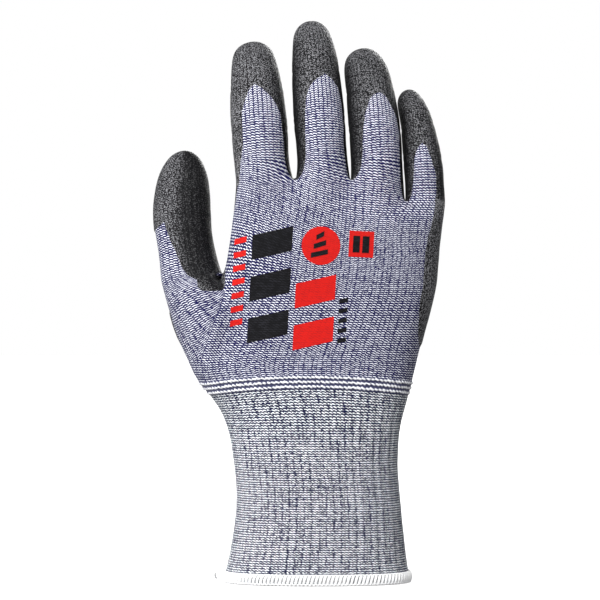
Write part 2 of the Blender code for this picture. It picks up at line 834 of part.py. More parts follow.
def add_cuff(form):
    """The cuff in two lengths and the fold between them, and the raised courses above."""
    low, high = WRIST_HEIGHT - WRIST_FOLD / 2, WRIST_HEIGHT + WRIST_FOLD / 2
    welt = WELT_HEIGHT - WELT_WIDTH / 2
    add_sleeve(form, "lower_cuff_knit", HEM_HEIGHT + CUT_GAP, low, 3)
    add_sleeve(form, "wrist_fold", low + CUT_GAP, high - CUT_GAP, 1)
    add_sleeve(form, "upper_cuff_knit", high, welt - CUT_GAP, 2)
    rows = []
    for row in range(2 * WELT_RIDGES + 1):
        height = welt + WELT_WIDTH * row / (2 * WELT_RIDGES)
        rows.append((outline(form, height), height, WELT_RISE * (row % 2)))
    loft_node("transition_welt", rows, "cuff_knit", LINER_WALL)


def add_hem(form):
    """The overlocked edge: a thick round of thread with a flat underside."""
    ring = outline(form, HEM_HEIGHT + CUT_GAP)
    rows = [(ring, height, HEM_FLARE + rise) for height, rise in HEM_ROWS]
    loft_node("hem_overlock", rows, "hem_thread", HEM_WALL)


def thread_node(name, points, radius, finish):
    """A round thread along points, closed at its ends."""
    curve = bpy.data.curves.new(name, "CURVE")
    curve.dimensions = "3D"
    curve.bevel_depth = metres(radius)
    curve.bevel_resolution = 0
    curve.use_fill_caps = True
    spline = curve.splines.new("POLY")
    spline.points.add(len(points) - 1)
    for target, point in zip(spline.points, points):
        target.co = (*metres(point), 1)
    curve.materials.append(material(finish))
    found = bpy.data.objects.new(name, curve)
    glove.objects.link(found)
    return found


def add_elastic(form):
    """The elastic thread of the cuff: a spiral just inside the knitting."""
    points = []
    inside = LINER_WALL + CUT_GAP + ELASTIC_RADIUS
    count = ELASTIC_TURNS * CUFF_SIDES
    for step in range(count + 1):
        height = ELASTIC_FROM + (ELASTIC_TO - ELASTIC_FROM) * step / count
        place, out = outline(form, height)[step % CUFF_SIDES]
        points.append(place - out * inside)
    thread_node("cuff_elastic", points, ELASTIC_RADIUS, "elastic")


def add_tail():
    """The end of the overlock thread, left hanging at the side of the hem."""
    thread_node("hem_thread_tail", HEM_TAIL, HEM_TAIL_RADIUS, "hem_thread")


def slanted_bar(left, right, low, height, rise):
    return ((left, low), (right, low + rise), (right, low + rise + height), (left, low + height))


def add_prints(form):
    for name, ((left, right, low, height, rise), count) in BARS.items():
        for i in range(count):
            corners = slanted_bar(left, right, low + BAR_PITCH * i, height, rise)
            add_print(form, f"{name}_{i + 1}", corners)
    (x, z), radius = DISC
    angles = [2 * math.pi * (i + 0.5) / DISC_SIDES for i in range(DISC_SIDES)]
    corners = [(x + radius * math.cos(a), z + radius * math.sin(a)) for a in angles]
    add_print(form, "print_red_disc", corners)
    add_print(form, "print_red_badge", slanted_bar(*BADGE))


def add_print(form, name, corners):
    """A printed node inside corners listed anticlockwise in x and z as the back is looked at."""
    turn = Matrix.Rotation(math.radians(MARK_LEAN), 2)
    pivot = Vector(MARK_PIVOT)
    corners = [pivot + turn @ (Vector(corner) - pivot) for corner in corners]
    cuts = []
    for corner, following in zip(corners, corners[1:] + corners[:1]):
        along = following - corner
        cuts.append(((corner.x, 0, corner.y), Vector((-along.y, 0, along.x)).normalized()))
    middle = sum(corners, Vector((0, 0))) / len(corners)
    finish = "black_print" if "black" in name else "red_print"
    near = (middle.x, PRINT_DEPTH, middle.y)
    wall_node(name, stretch(form, cuts, near), finish, PRINT_WALL, COATING_GAP, outward=True)


def joint_empty(name, fold, parent):
    """An empty on a joint's axis, with its X along the axis, that the moving nodes hang from."""
    empty = bpy.data.objects.new(name, None)
    empty.empty_display_size = metres(10.0)
    empty.rotation_mode = "QUATERNION"
    empty.location = metres(fold.hinge)
    empty.rotation_quaternion = fold.axis.to_track_quat("X", "Z")
    glove.objects.link(empty)
    bpy.context.view_layer.update()
    hang(empty, parent)
    return empty


def hang(found, parent):
    """Parents an object without moving it."""
    if parent:
        bpy.context.view_layer.update()
        found.parent = parent
        found.matrix_parent_inverse = parent.matrix_world.inverted()


def hang_nodes(folds, wrist):
    """Hangs each node from the joint that moves it. The cuff's lower part stays still."""
    hand = joint_empty("wrist_joint", wrist, None)
    for node in list(glove.objects):
        if node.name.startswith(HAND_NODES):
            hang(node, hand)
    for name, found in folds.items():
        parent = hand
        for (segment, label, joint), fold in zip(THUMB_LINKS if name == "thumb" else FINGER_LINKS, found):
            hang(bpy.data.objects[f"{name}_{label}_fold"], parent)
            parent = joint_empty(f"{name}_{joint}", fold, parent)
            hang(bpy.data.objects[f"{name}_{segment}_knit"], parent)
            hang(bpy.data.objects[f"{name}_{segment}_coating"], parent)


def main():
    form = form_object()
    for name in FINGERS:
        pitch = sum(FINGERS[name][3]) / PLACE_STEPS
        places[name] = [finger_place(name, pitch * step) for step in range(PLACE_STEPS + 1)]
    folds = {name: finger_folds(form, name) for name in FINGERS}
    folds["thumb"] = thumb_folds(form)
    wrist = wrist_fold()
    add_cuff(form)
    add_hem(form)
    add_elastic(form)
    add_tail()
    add_hand(form, folds)
    add_prints(form)
    add_fingers(form, folds)
    add_thumb(form, folds)
    hang_nodes(folds, wrist)


for stale in list(bpy.data.objects):
    bpy.data.objects.remove(stale)
glove = bpy.data.collections.new("glove")
guides = bpy.data.collections.new("guides")
bpy.context.scene.collection.children.link(glove)
bpy.context.scene.collection.children.link(guides)
places = {}
main()
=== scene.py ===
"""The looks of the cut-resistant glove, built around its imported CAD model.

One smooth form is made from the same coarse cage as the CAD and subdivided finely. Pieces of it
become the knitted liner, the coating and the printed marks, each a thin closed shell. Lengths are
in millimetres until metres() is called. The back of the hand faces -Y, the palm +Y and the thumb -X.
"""

from math import cos, hypot, pi, radians, sin

import bpy
import numpy as np
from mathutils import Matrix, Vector, noise
from numpy.linalg import norm


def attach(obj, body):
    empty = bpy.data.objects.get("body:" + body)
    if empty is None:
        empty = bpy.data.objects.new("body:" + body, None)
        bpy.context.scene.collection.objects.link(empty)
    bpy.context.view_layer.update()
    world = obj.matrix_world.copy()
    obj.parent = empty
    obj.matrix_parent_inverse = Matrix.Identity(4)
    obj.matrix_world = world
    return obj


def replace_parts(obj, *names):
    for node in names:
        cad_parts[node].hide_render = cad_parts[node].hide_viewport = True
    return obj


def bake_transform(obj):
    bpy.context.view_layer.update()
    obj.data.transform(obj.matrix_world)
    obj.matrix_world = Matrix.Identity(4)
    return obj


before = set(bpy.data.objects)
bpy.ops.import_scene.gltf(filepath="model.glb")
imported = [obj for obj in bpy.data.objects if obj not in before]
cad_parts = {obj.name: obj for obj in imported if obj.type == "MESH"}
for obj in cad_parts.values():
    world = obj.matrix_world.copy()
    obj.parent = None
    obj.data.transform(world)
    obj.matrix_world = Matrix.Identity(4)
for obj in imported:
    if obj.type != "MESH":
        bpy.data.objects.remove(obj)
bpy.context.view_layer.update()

# --- The form's driving dimensions ---

HEM_HEIGHT = 4.5
COATING_HEM = 103
THUMB_LEVELS = (99, 115, 133)
LEVEL = 4

COLUMNS = (-0.93, -0.73, -0.446, -0.16, 0.115, 0.342, 0.577, 0.77, 0.93)

# Sections of the cuff and palm: height, left, right, back, palm, squareness of the outline
SECTIONS = (
    (1.2, -40.8, 41.7, -25.6, 25.6, 2.3),
    (HEM_HEIGHT, -40.5, 41.4, -25.5, 25.5, 2.3),
    (16, -38, 39.8, -25, 25, 2.3),
    (34, -35.8, 38.3, -24.4, 24.4, 2.3),
    (52, -36.4, 36.6, -24, 24, 2.3),
    (68, -39.4, 37.6, -23.8, 24.2, 2.3),
    (80, -44.7, 40.2, -23.4, 25.2, 2.3),
    (90, -52.3, 43.1, -22.8, 26.2, 2.4),
    (99, -57.2, 45.4, -22, 26.8, 2.4),
    (115, -50, 49.4, -20.6, 25.8, 2.5),
    (133, -42.5, 53.5, -19.6, 22, 2.6),
    (150, -39.2, 55, -18.6, 17.6, 2.7),
    (165, -37.2, 56.9, -17, 14, 2.7),
)

# The rim of the hole that the thumb grows from, listed as a finger's ring is
THUMB_RIM = (
    (-57.4, 4, 99),
    (-51.2, -12.5, 101),
    (-46.5, -16, 115),
    (-41, -12, 131),
    (-42.3, 2, 136),
    (-38.2, 13, 131.6),
    (-44.5, 25, 115),
    (-48.5, 21.5, 100),
)

# The thumb: middle, width and thickness of each ring, then its tip. NAIL is the way it faces.
THUMB_RINGS = (
    ((-55.8, 6.6, 134.5), 27.2, 27),
    ((-58.2, 9.4, 145), 25.8, 25.4),
    ((-59.9, 12, 155.5), 25.6, 24.6),
    ((-60.9, 15, 166), 26.4, 24.6),
    ((-60.8, 18, 176), 25.4, 23.2),
    ((-60.3, 20.6, 184.8), 21.8, 19.4),
    ((-59.8, 22, 191), 14.4, 12.4),
)
THUMB_TIP = (-59.5, 23, 194.2)
NAIL = Vector((-0.74, -0.67, 0))
THUMB_ROOT_BULGE = 2.6
THUMB_WEB_RISE = 0.7
THUMB_ROOT_PLACE = 0.55

# Each finger: middle of its base, width, thickness, lengths from crotch to knuckle to knuckle to
# tip, how far each length curls to the palm and leans to the thumb in degrees
FINGERS = {
    "index": ((-23.7, -1.6, 178.5), 23.9, 22, (24, 22.5, 28.3), (8, 27, 41), (4, 4, 4)),
    "middle": ((3.7, -3, 179.5), 21.8, 22.4, (27.5, 26.5, 31.2), (9, 27, 41), (4, 4, 4)),
    "ring": ((27.7, -1, 179), 22.2, 21.2, (24, 23, 27.6), (12, 33, 46), (3, 4, 8)),
    "little": ((49.4, 3.4, 170.5), 16.6, 18.6, (19.5, 17.5, 23), (9, 28, 43), (3, 6, 12)),
}
# How far each finger's two knuckles and its tip are from its base
REACHES = {name: np.cumsum(finger[3]) for name, finger in FINGERS.items()}
# Along a finger: share of its length, width and thickness as shares of those at its base
FINGER_PROFILE = (
    (0.12, 1, 0.99),
    (0.31, 1.01, 0.96),
    (0.51, 0.985, 0.905),
    (0.70, 0.915, 0.83),
    (0.86, 0.80, 0.70),
    (0.95, 0.60, 0.48),
)
# How much narrower the little finger grows beyond a share of its length
LITTLE_TAPER = ((0.25, 0), (1, 0.20))
RING_SIDES = 8
FIRST_FOLD = 6
KNUCKLE_SMOOTHING = 6

# --- Where the pieces end ---

WRIST_PIECE = (44, 69)
UPPER_CUFF_TOP = 99
HAND_LOW = 80

# --- Knitting: stitches round each part, and the height of a course ---

BODY_WALES = 120
FINGER_WALES = 36
COURSE = 1.06
LINER_WALL = 1
RIB_WALES = 3
RIB_DEPTH = 0.2

# The raised courses between cuff and palm, which arch up on the back of the hand
WELT_LOW = 84
WELT_ROWS = 3
WELT_PITCH = 2.2
WELT_HIGH = WELT_LOW + WELT_ROWS * WELT_PITCH
WELT_RISE = 0.75
ARCH_RISE = 3.4
ARCH_MIDDLE = -2.7
ARCH_HALF = 46
ARCH_FADE = 16

# Courses slant across the knuckles on the back of the hand
SLANT = 0.45
SLANT_REACH = 25
SLANT_MIDDLE = -12
BASE_FADE = 15

# --- Coating: the knitted window on the back of each finger, as the angles of its left and right
# edges from the middle of the back, by share of the finger's length ---

WINDOWS = {
    "index": (
        ((0, -68), (0.08, -60), (0.24, -41), (0.42, -38), (0.50, -27), (0.545, -19), (0.574, -4)),
        ((0, 50), (0.06, 61), (0.24, 62), (0.42, 51), (0.49, 34), (0.545, 12), (0.574, -4)),
    ),
    "middle": (
        ((0, -44), (0.20, -43), (0.32, -38), (0.43, -30), (0.485, -19), (0.52, -4), (0.55, 20)),
        ((0, 50), (0.07, 66), (0.32, 74), (0.43, 68), (0.485, 59), (0.52, 44), (0.55, 20)),
    ),
    "ring": (
        ((0, -44), (0.10, -38), (0.30, -29), (0.41, -19), (0.476, -8), (0.509, 1), (0.531, 19)),
        ((0, 50), (0.10, 66), (0.30, 76), (0.40, 62), (0.476, 43), (0.509, 34), (0.531, 19)),
    ),
    "little": (
        ((0, -48), (0.175, -38), (0.313, -30), (0.381, -17), (0.415, 0)),
        ((0, 29), (0.175, 39), (0.313, 23), (0.381, 14), (0.415, 0)),
    ),
}
WINDOW_SCALE = 0.18
THUMB_WINDOW = (
    ((128, -130), (150, -118), (155, -80), (158, -42), (160.2, -7), (162.1, 8)),
    ((128, 80), (133.7, 52), (138.2, 42), (145.8, 32), (152.6, 20), (162.1, 8)),
)
SIDE_BAND = ((103, 0), (112, 3), (125, 5.4), (150, 6.2), (165, 4.2), (173, 3.2))
PALM_EDGE = ((100, 6), (140, 3), (165, 0.5), (178, -4.4))
CROTCH_COATING_HEIGHT = 131
CROTCH_COATING_TOP = 141.5
CROTCH_REACH = -40.6
CROTCH_TURN = 44
# Painted shade on the coating: the least on each digit, and on the thumb's side away from the light
COATING_PAINTED_SHADE = {"index": 0.06, "middle": 0.02, "ring": 0.12, "little": 0.2, "thumb": 0.16}
THUMB_SIDE_PAINTED_SHADE = 0.82
# Creases up the back of the thumb, by angle and depth: dented into the liner, with painted shade in them
THUMB_CREASES = ((47, 0.8), (56, 1), (72, 1), (92, 0.7))
THUMB_CREASE_WIDTH = 1.9
THUMB_CREASE_SWAY = 4
COATING_WALL = 0.4
COATING_RIM = 0.05
COATING_EDGE = 1.3
LAYER_GAP = 0.02

# --- Marks printed on the back: convex outlines in x and z ---

MARK_LEAN = radians(-3)
MARK_PIVOT = (-9, 134)
INK_WALL = 0.14
CAD_MARKS = ("black_bar_1", "black_bar_2", "black_bar_3", "red_bar_1", "red_bar_2", "red_disc", "red_badge")

# --- Hem: loops round the edge, and chains by height, distance out, swing and radius ---

HEM_LOOPS = 124
HEM_CHAINS = ((4.9, 0.45, 0.35, 0.36), (1, 0.9, 0.3, 0.4), (4.2, -1.9, 0.3, 0.36))
HEM_CHAIN_STEPS = 620
TAIL_ROUTE = (
    (-43.7, 0, 3.2), (-44.8, 1.4, 4.2), (-45.6, 3.2, 3.4), (-45.4, 5, 2), (-44.9, 7, 1.2)
)

# --- Lights: kind, name, place in metres, strength, and angle or diameter ---

LIGHTS = (
    ("SUN", "sky_light", (-0.6, -1.1, 2), 1.65, 0.9),
    ("AREA", "key", (-0.9, -1.6, 0.7), 32, 0.9),
    ("AREA", "fill", (1.3, -1, 0.4), 4.2, 0.8),
    ("AREA", "palm_light", (0.5, 1.7, 0.8), 22, 0.9),
    ("AREA", "left_light", (-1.7, -0.1, 0.3), 13, 0.8),
)


def metres(values):
    return np.asarray(values, float) * 0.001


def interpolated(table, at):
    """Values at places in a table of (place, value) rows."""
    return np.interp(at, [row[0] for row in table], [row[1] for row in table])


def smooth_step(low, high, value):
    share = np.clip((value - low) / (high - low), 0, 1)
    return share * share * (3 - 2 * share)


def bell(value, width):
    return np.exp(-((value / width) ** 2))


def boundary_edges(faces):
    """The directed edges that only one face has."""
    edges = set()
    for face in faces:
        edges.update(zip(face, face[1:] + face[:1]))
    return [(a, b) for a, b in edges if (b, a) not in edges]


def placed(name, data):
    """A new object in the scene."""
    found = bpy.data.objects.new(name, data)
    bpy.context.scene.collection.objects.link(found)
    return found


# --- The coarse cage ---

def section_point(section, share, side):
    """A section's point. side is -1 on the back, 1 on the palm and 0 at an edge."""
    height, left, right, back, palm, square = section
    x = (left + right) / 2 + (right - left) / 2 * share
    bulge = (1 - abs(share) ** square) ** (1 / square)
    y = (back + palm) / 2 + (palm - back) / 2 * side * bulge
    return Vector((x, y, height))


def section_ring(section):
    """Twenty points: the left edge, the back, the right edge, and the palm from right to left."""
    ring = [section_point(section, -1, 0)]
    ring += [section_point(section, share, -1) for share in COLUMNS]
    ring.append(section_point(section, 1, 0))
    ring += [section_point(section, share, 1) for share in reversed(COLUMNS)]
    return ring


def oval_ring(middle, right, palm, width, thickness):
    """Eight points round a finger, from its left side over its back."""
    ring = []
    for step in range(RING_SIDES):
        angle = pi + step * 2 * pi / RING_SIDES
        across = right * (width / 2 * cos(angle))
        ring.append(Vector(middle) + across + palm * (thickness / 2 * sin(angle)))
    return ring


def finger_place(name, along):
    """(middle, direction) of a finger at a distance from its base."""
    base, *_, curls, leans = FINGERS[name]
    straight = []
    for curl, lean in zip(np.radians(curls), np.radians(leans)):
        across = cos(lean)
        straight.append(Vector((-sin(lean), sin(curl) * across, cos(curl) * across)))
    place, steps = Vector(base), 40
    direction = straight[0]
    for step in range(steps):
        s = along * (step + 0.5) / steps
        direction = straight[0].copy()
        for i, knuckle in enumerate(REACHES[name][:2]):
            turn = smooth_step(-KNUCKLE_SMOOTHING, KNUCKLE_SMOOTHING, s - knuckle)
            direction += (straight[i + 1] - straight[i]) * float(turn)
        direction.normalize()
        place += direction * (along / steps)
    return place, direction


def finger_ring_points(name, share, width_share, thickness_share):
    _, width, thickness, *_ = FINGERS[name]
    if name == "little":
        width *= 1 - interpolated(LITTLE_TAPER, share)
    middle, direction = finger_place(name, share * REACHES[name][-1])
    right = Vector((1, 0, 0))
    right = (right - direction * right.dot(direction)).normalized()
    palm = direction.cross(right)
    return oval_ring(middle, right, palm, width * width_share, thickness * thickness_share)


def thumb_frame(direction):
    """(right, palm) across the thumb's direction."""
    palm = -NAIL.normalized()
    palm = (palm - direction * palm.dot(direction)).normalized()
    return palm.cross(direction), palm


def thumb_middles():
    return [Vector(middle) for middle, _, _ in THUMB_RINGS] + [Vector(THUMB_TIP)]


class Cage:
    """The form's quads, each with its corners' (wale, course) and its part."""

    def __init__(self):
        self.points, self.faces, self.corners, self.zones = [], [], [], []

    def add(self, point):
        self.points.append(Vector(point))
        return len(self.points) - 1

    def quad(self, face, corners, zone):
        self.faces.append(face)
        self.corners.append(corners)
        self.zones.append(zone)

    def tube(self, lower, upper, wales, courses, zone, skipped=()):
        """Joins two rings. courses are the lower and the upper ring's."""
        low, high = courses
        for i in range(len(lower)):
            if i not in skipped:
                j = (i + 1) % len(lower)
                left, right = wales[i], wales[i + 1]
                corners = ((left, low[i]), (right, low[j]), (right, high[j]), (left, high[i]))
                self.quad((lower[i], lower[j], upper[j], upper[i]), corners, zone)

    def digit(self, ring, courses, stops, tip, end, zone):
        """Grows a finger from a ring. A stop is the next ring's points and courses."""
        wales = [FINGER_WALES * i / RING_SIDES for i in range(RING_SIDES + 1)]
        for points, reached in stops:
            below, ring = ring, [self.add(point) for point in points]
            self.tube(below, ring, wales, (courses, reached), zone)
            courses = reached
        low, top = courses[0], self.add(tip)
        for i in range(0, RING_SIDES, 2):
            face = (top, ring[i], ring[i + 1], ring[(i + 2) % RING_SIDES])
            left, middle, right = wales[i : i + 3]
            self.quad(face, ((middle, end), (left, low), (middle, low), (right, low)), zone)


def body_wales(section):
    """The wale at each point round a section, and at the first one again."""
    ring = section_ring(section)
    steps = [(b - a).length for a, b in zip(ring, ring[1:] + ring[:1])]
    return [BODY_WALES * sum(steps[:i]) / sum(steps) for i in range(len(ring) + 1)]


def palm_rows(cage):
    """The sections as rings, and the thumb's rim, which opens their left edge."""
    rows = []
    for section in SECTIONS:
        left, *others = section_ring(section)
        start = None if section[0] == THUMB_LEVELS[1] else cage.add(left)
        rows.append([start] + [cage.add(point) for point in others])
    heights = [section[0] for section in SECTIONS]
    low, mid, high = (rows[heights.index(level)] for level in THUMB_LEVELS)
    rim = [low[0], low[1], mid[1], high[1], high[0], high[-1], mid[-1], low[-1]]
    for index, point in zip(rim, THUMB_RIM):
        cage.points[index] = Vector(point)
    flat = [0.0] * len(low)
    for row, section, following in zip(rows, SECTIONS, rows[1:]):
        skipped = (0, len(low) - 1) if row in (low, mid) else ()
        cage.tube(row, following, body_wales(section), (flat, flat), "body", skipped)
    return rows, rim


def finger_bases(cage):
    """The ring at each finger's base. Neighbours share the three points of a crotch."""
    names = list(FINGERS)
    wanted = {name: finger_ring_points(name, 0, 1, 1) for name in names}
    rings = {name: [None] * RING_SIDES for name in names}
    for name, following in zip(names, names[1:]):
        for right_side, left_side in ((4, 0), (3, 1), (5, 7)):
            right, left = wanted[name][right_side], wanted[following][left_side]
            middle = (right + left) / 2
            middle.z = min(right.z, left.z)
            rings[name][right_side] = rings[following][left_side] = cage.add(middle)
    for name, ring in rings.items():
        for i, point in enumerate(wanted[name]):
            if ring[i] is None:
                ring[i] = cage.add(point)
    return rings


def top_row(rings):
    """The palm's last ring, along the finger bases without the middles of the crotches."""
    first, *_, last = rings.values()
    back = [point for ring in rings.values() for point in ring[1:3]]
    palm = [point for ring in rings.values() for point in (ring[7], ring[6])]
    return [first[0], *back, last[3], last[4], last[5], *palm[::-1]]


def add_finger_tubes(cage, name, ring):
    length = float(REACHES[name][-1])
    stops = []
    for share, width_share, thickness_share in FINGER_PROFILE:
        points = finger_ring_points(name, share, width_share, thickness_share)
        stops.append((points, [share * length] * RING_SIDES))
    tip, _ = finger_place(name, length)
    cage.digit(ring, [0.0] * RING_SIDES, stops, tip, length, name)


def add_thumb_tubes(cage, rim):
    rings, along = [], [0.0]
    middles = thumb_middles()
    for (_, width, thickness), middle, following in zip(THUMB_RINGS, middles, middles[1:]):
        right, palm = thumb_frame((following - middle).normalized())
        rings.append(oval_ring(middle, right, palm, width, thickness))
        along.append(along[-1] + (following - middle).length)
    root = [cage.points[i].lerp(point, THUMB_ROOT_PLACE) for i, point in zip(rim, rings[0])]
    centre = sum(root, Vector()) / len(root)
    for i, point in enumerate(root):
        outer_side = 0.5 + 0.5 * cos(2 * pi * i / RING_SIDES)
        root[i] = point + (point - centre).normalized() * THUMB_ROOT_BULGE * outer_side
        root[i].z += THUMB_WEB_RISE * (1 - outer_side)
    below_rim = [-(cage.points[i] - point).length for i, point in zip(rim, rings[0])]
    below_root = [-(a - b).length for a, b in zip(root, rings[0])]
    stops = [(root, below_root)] + [(ring, [at] * RING_SIDES) for ring, at in zip(rings, along)]
    cage.digit(rim, below_rim, stops, THUMB_TIP, along[-1], "thumb")


def glove_cage():
    cage = Cage()
    rows, rim = palm_rows(cage)
    rings = finger_bases(cage)
    flat = [0.0] * len(rows[-1])
    cage.tube(rows[-1], top_row(rings), body_wales(SECTIONS[-1]), (flat, flat), "body")
    for name in FINGERS:
        add_finger_tubes(cage, name, rings[name])
    add_thumb_tubes(cage, rim)
    return cage


def limit_points(points, faces):
    """Where each cage point lands on the subdivision surface."""
    spokes, rim = [set() for _ in points], [set() for _ in points]
    corners = [Vector() for _ in points]
    for face in faces:
        for i, here in enumerate(face):
            spokes[here].update((face[(i + 1) % 4], face[i - 1]))
            corners[here] += points[face[(i + 2) % 4]]
    for a, b in boundary_edges(faces):
        rim[a].add(b)
        rim[b].add(a)
    landed = []
    for point, near, beside, corner in zip(points, spokes, rim, corners):
        around = sum((points[j] for j in beside or near), Vector())
        n = len(near)
        if beside:
            landed.append((point * 4 + around) / 6)
        else:
            landed.append((point * n * n + around * 4 + corner) / (n * (n + 5)))
    return landed


# --- The fine form as arrays ---

def rows_of(items, key, width, kind=float):
    """One property of all items, as rows of that width."""
    found = np.zeros(len(items) * width, kind)
    items.foreach_get(key, found)
    return found.reshape(-1, width)


class Form:
    """The fine points and quads, with the corners' (wale, course) and each quad's part."""

    def __init__(self):
        cage = glove_cage()
        points = [point.copy() for point in cage.points]
        for _ in range(6):
            landed = limit_points(points, cage.faces)
            points = [p + (want - got) * 0.8 for p, want, got in zip(points, cage.points, landed)]
        mesh = bpy.data.meshes.new("form")
        mesh.from_pydata([tuple(p) for p in points], [], cage.faces)
        stitches = mesh.uv_layers.new(name="stitch")
        stitches.data.foreach_set("uv", np.array(cage.corners, np.float32).ravel())
        guide = placed("form", mesh)
        smooth = guide.modifiers.new("smooth", "SUBSURF")
        smooth.levels = smooth.render_levels = LEVEL
        smooth.boundary_smooth = "ALL"
        smooth.uv_smooth = "NONE"
        fine = guide.evaluated_get(bpy.context.evaluated_depsgraph_get()).to_mesh()
        self.points = rows_of(fine.vertices, "co", 3)
        self.quads = rows_of(fine.loops, "vertex_index", 1, int).reshape(-1, 4)
        self.corners = rows_of(fine.uv_layers["stitch"].data, "uv", 2).reshape(-1, 4, 2)
        self.zones = np.repeat(np.array(cage.zones), 4**LEVEL)
        bpy.data.objects.remove(guide)
        bpy.data.meshes.remove(mesh)
        self.normals = self.normals_of(self.points)
        self.spread_to_points()

    def normals_of(self, points):
        a, b, c, d = (points[self.quads[:, i]] for i in range(4))
        face_normals = np.cross(c - a, d - b)
        found = np.zeros_like(points)
        for i in range(4):
            np.add.at(found, self.quads[:, i], face_normals)
        return found / norm(found, axis=1)[:, None]

    def spread_to_points(self):
        """Each point's wale, course, part and share of its finger's length."""
        self.wale, self.along = np.zeros((2, len(self.points)))
        self.part = np.full(len(self.points), "body", dtype="<U8")
        order = np.argsort(self.zones != "body", kind="stable")
        for i in range(4):
            at = self.quads[order, i]
            self.wale[at], self.along[at] = self.corners[order, i].T
            self.part[at] = self.zones[order]
        self.share = self.along.copy()
        for name, reaches in REACHES.items():
            self.share[self.part == name] /= reaches[-1]


def arch(x, y, z):
    """How far the courses near the raised ones are bent up."""
    across = np.clip(1 - ((x - ARCH_MIDDLE) / ARCH_HALF) ** 2, 0, 1)
    side = 1 - 0.7 * smooth_step(-12, 12, y)
    return ARCH_RISE * across * side * bell(z - 88, ARCH_FADE)


def slant(x, z):
    """How far the courses under the fingers are slanted."""
    return SLANT * SLANT_REACH * np.tanh((x - SLANT_MIDDLE) / SLANT_REACH) * smooth_step(126, 166, z)


def body_course(points):
    x, y, z = points.T
    return z - arch(x, y, z)


def turned(wale):
    """The angle from the middle of a finger's back, in degrees, negative on the left."""
    return ((wale / FINGER_WALES + 0.25) % 1 - 0.5) * 360


def thumb_angle(points):
    """How far round the thumb points lie from its back, in degrees."""
    middles = np.array(thumb_middles())
    found = np.zeros(len(points))
    above = np.clip(np.searchsorted(middles[:, 2], points[:, 2]), 1, len(middles) - 1)
    for i in range(1, len(middles)):
        here = above == i
        low, high = middles[i - 1], middles[i]
        share = np.clip((points[here, 2] - low[2]) / (high[2] - low[2]), 0, 1)
        right, palm = (np.array(v) for v in thumb_frame(Vector(high - low).normalized()))
        out = points[here] - low - share[:, None] * (high - low)
        found[here] = np.abs(np.degrees(np.arctan2(out @ right, -(out @ palm))))
    return found


def smooth_least(a, b, width):
    share = np.clip(width - np.abs(a - b), 0, None) / width
    return np.minimum(a, b) - share * share * width / 4


def palm_coating(points):
    """Positive on the palm, round the little finger's side and over the thumb's crotch."""
    x, y, z = points.T
    edge = interpolated([(s[0], s[2]) for s in SECTIONS], z)
    side = x - (edge - interpolated(SIDE_BAND, z))
    covered = np.maximum(y - interpolated(PALM_EDGE, z), side)
    crotch = smooth_least(z - CROTCH_COATING_HEIGHT, CROTCH_REACH - x, 4.0)
    crotch = np.minimum(crotch, CROTCH_COATING_TOP - z)
    crotch = np.minimum(crotch, (thumb_angle(points) - CROTCH_TURN) * 0.2)
    covered = np.where(x < CROTCH_REACH, np.maximum(covered, crotch), covered)
    return smooth_least(covered, z - COATING_HEM, 6.0)


def inside_window(window, angle, at):
    """How far an angle is inside a window's two edges, in degrees."""
    left, right = window
    return np.minimum(angle - interpolated(left, at), interpolated(right, at) - angle)


def coating_field(form):
    """Positive where the glove is coated, roughly in millimetres from the edge."""
    field = palm_coating(form.points)
    angle = turned(form.wale)
    for name, window in WINDOWS.items():
        inside = inside_window(window, angle, form.share) * WINDOW_SCALE
        finger = np.maximum(-inside, (form.share - window[0][-1][0]) * 30)
        field = np.where(form.part == name, finger, field)
    height = form.points[:, 2]
    inside = inside_window(THUMB_WINDOW, angle, height) * 0.2
    thumb = np.maximum(-inside, height - THUMB_WINDOW[0][-1][0])
    root = (form.part == "thumb") * smooth_step(-14.0, 0.0, form.along)
    field = field * (1 - root) + thumb * root
    return field + 0.22 * noise_at(form.points, 1.6) + 0.3 * noise_at(form.points, 5.0)


def thumb_creases(form):
    """Long creases that run up the coated back of the thumb, from 0 to 1."""
    angle = turned(form.wale) - THUMB_CREASE_SWAY * np.sin(form.along / 13.0 + 0.6)
    return sum(depth * bell(angle - middle, THUMB_CREASE_WIDTH) for middle, depth in THUMB_CREASES)


def painted_shade(form):
    """Painted shade on the coating, from 0 to 1: some on each digit, more between and beside the
    fingers, on the thumb's side away from the light, in its creases and in its crotch.
    """
    found = np.zeros(len(form.points))
    angle = turned(form.wale)
    finger_side = bell(np.abs(angle) - 76.0, 34.0) * smooth_step(0.95, 0.6, form.share)
    for name in FINGERS:
        side = finger_side * smooth_step(-20.0, 20.0, angle) if name == "index" else finger_side
        shade = COATING_PAINTED_SHADE[name] + (1 - COATING_PAINTED_SHADE[name]) * side
        found = np.where(form.part == name, shade, found)
    side = smooth_step(22.0, 58.0, angle) * smooth_step(150.0, 110.0, angle)
    shade = COATING_PAINTED_SHADE["thumb"] + (THUMB_SIDE_PAINTED_SHADE - COATING_PAINTED_SHADE["thumb"]) * side
    found = np.where(form.part == "thumb", np.maximum(shade, thumb_creases(form)), found)
    x, y, z = form.points.T
    # Painted shade in the crotch of the thumb and index finger, on the back of the hand
    crotch = smooth_step(-41.5, -43.5, x) * smooth_step(124, 130, z) * smooth_step(16, 8, y)
    return np.where(form.part == "body", crotch, found)


def noise_at(points, size):
    """Smooth noise from about -1 to 1, with features of a size in millimetres."""
    return np.array([noise.noise(Vector(p)) for p in points / size])


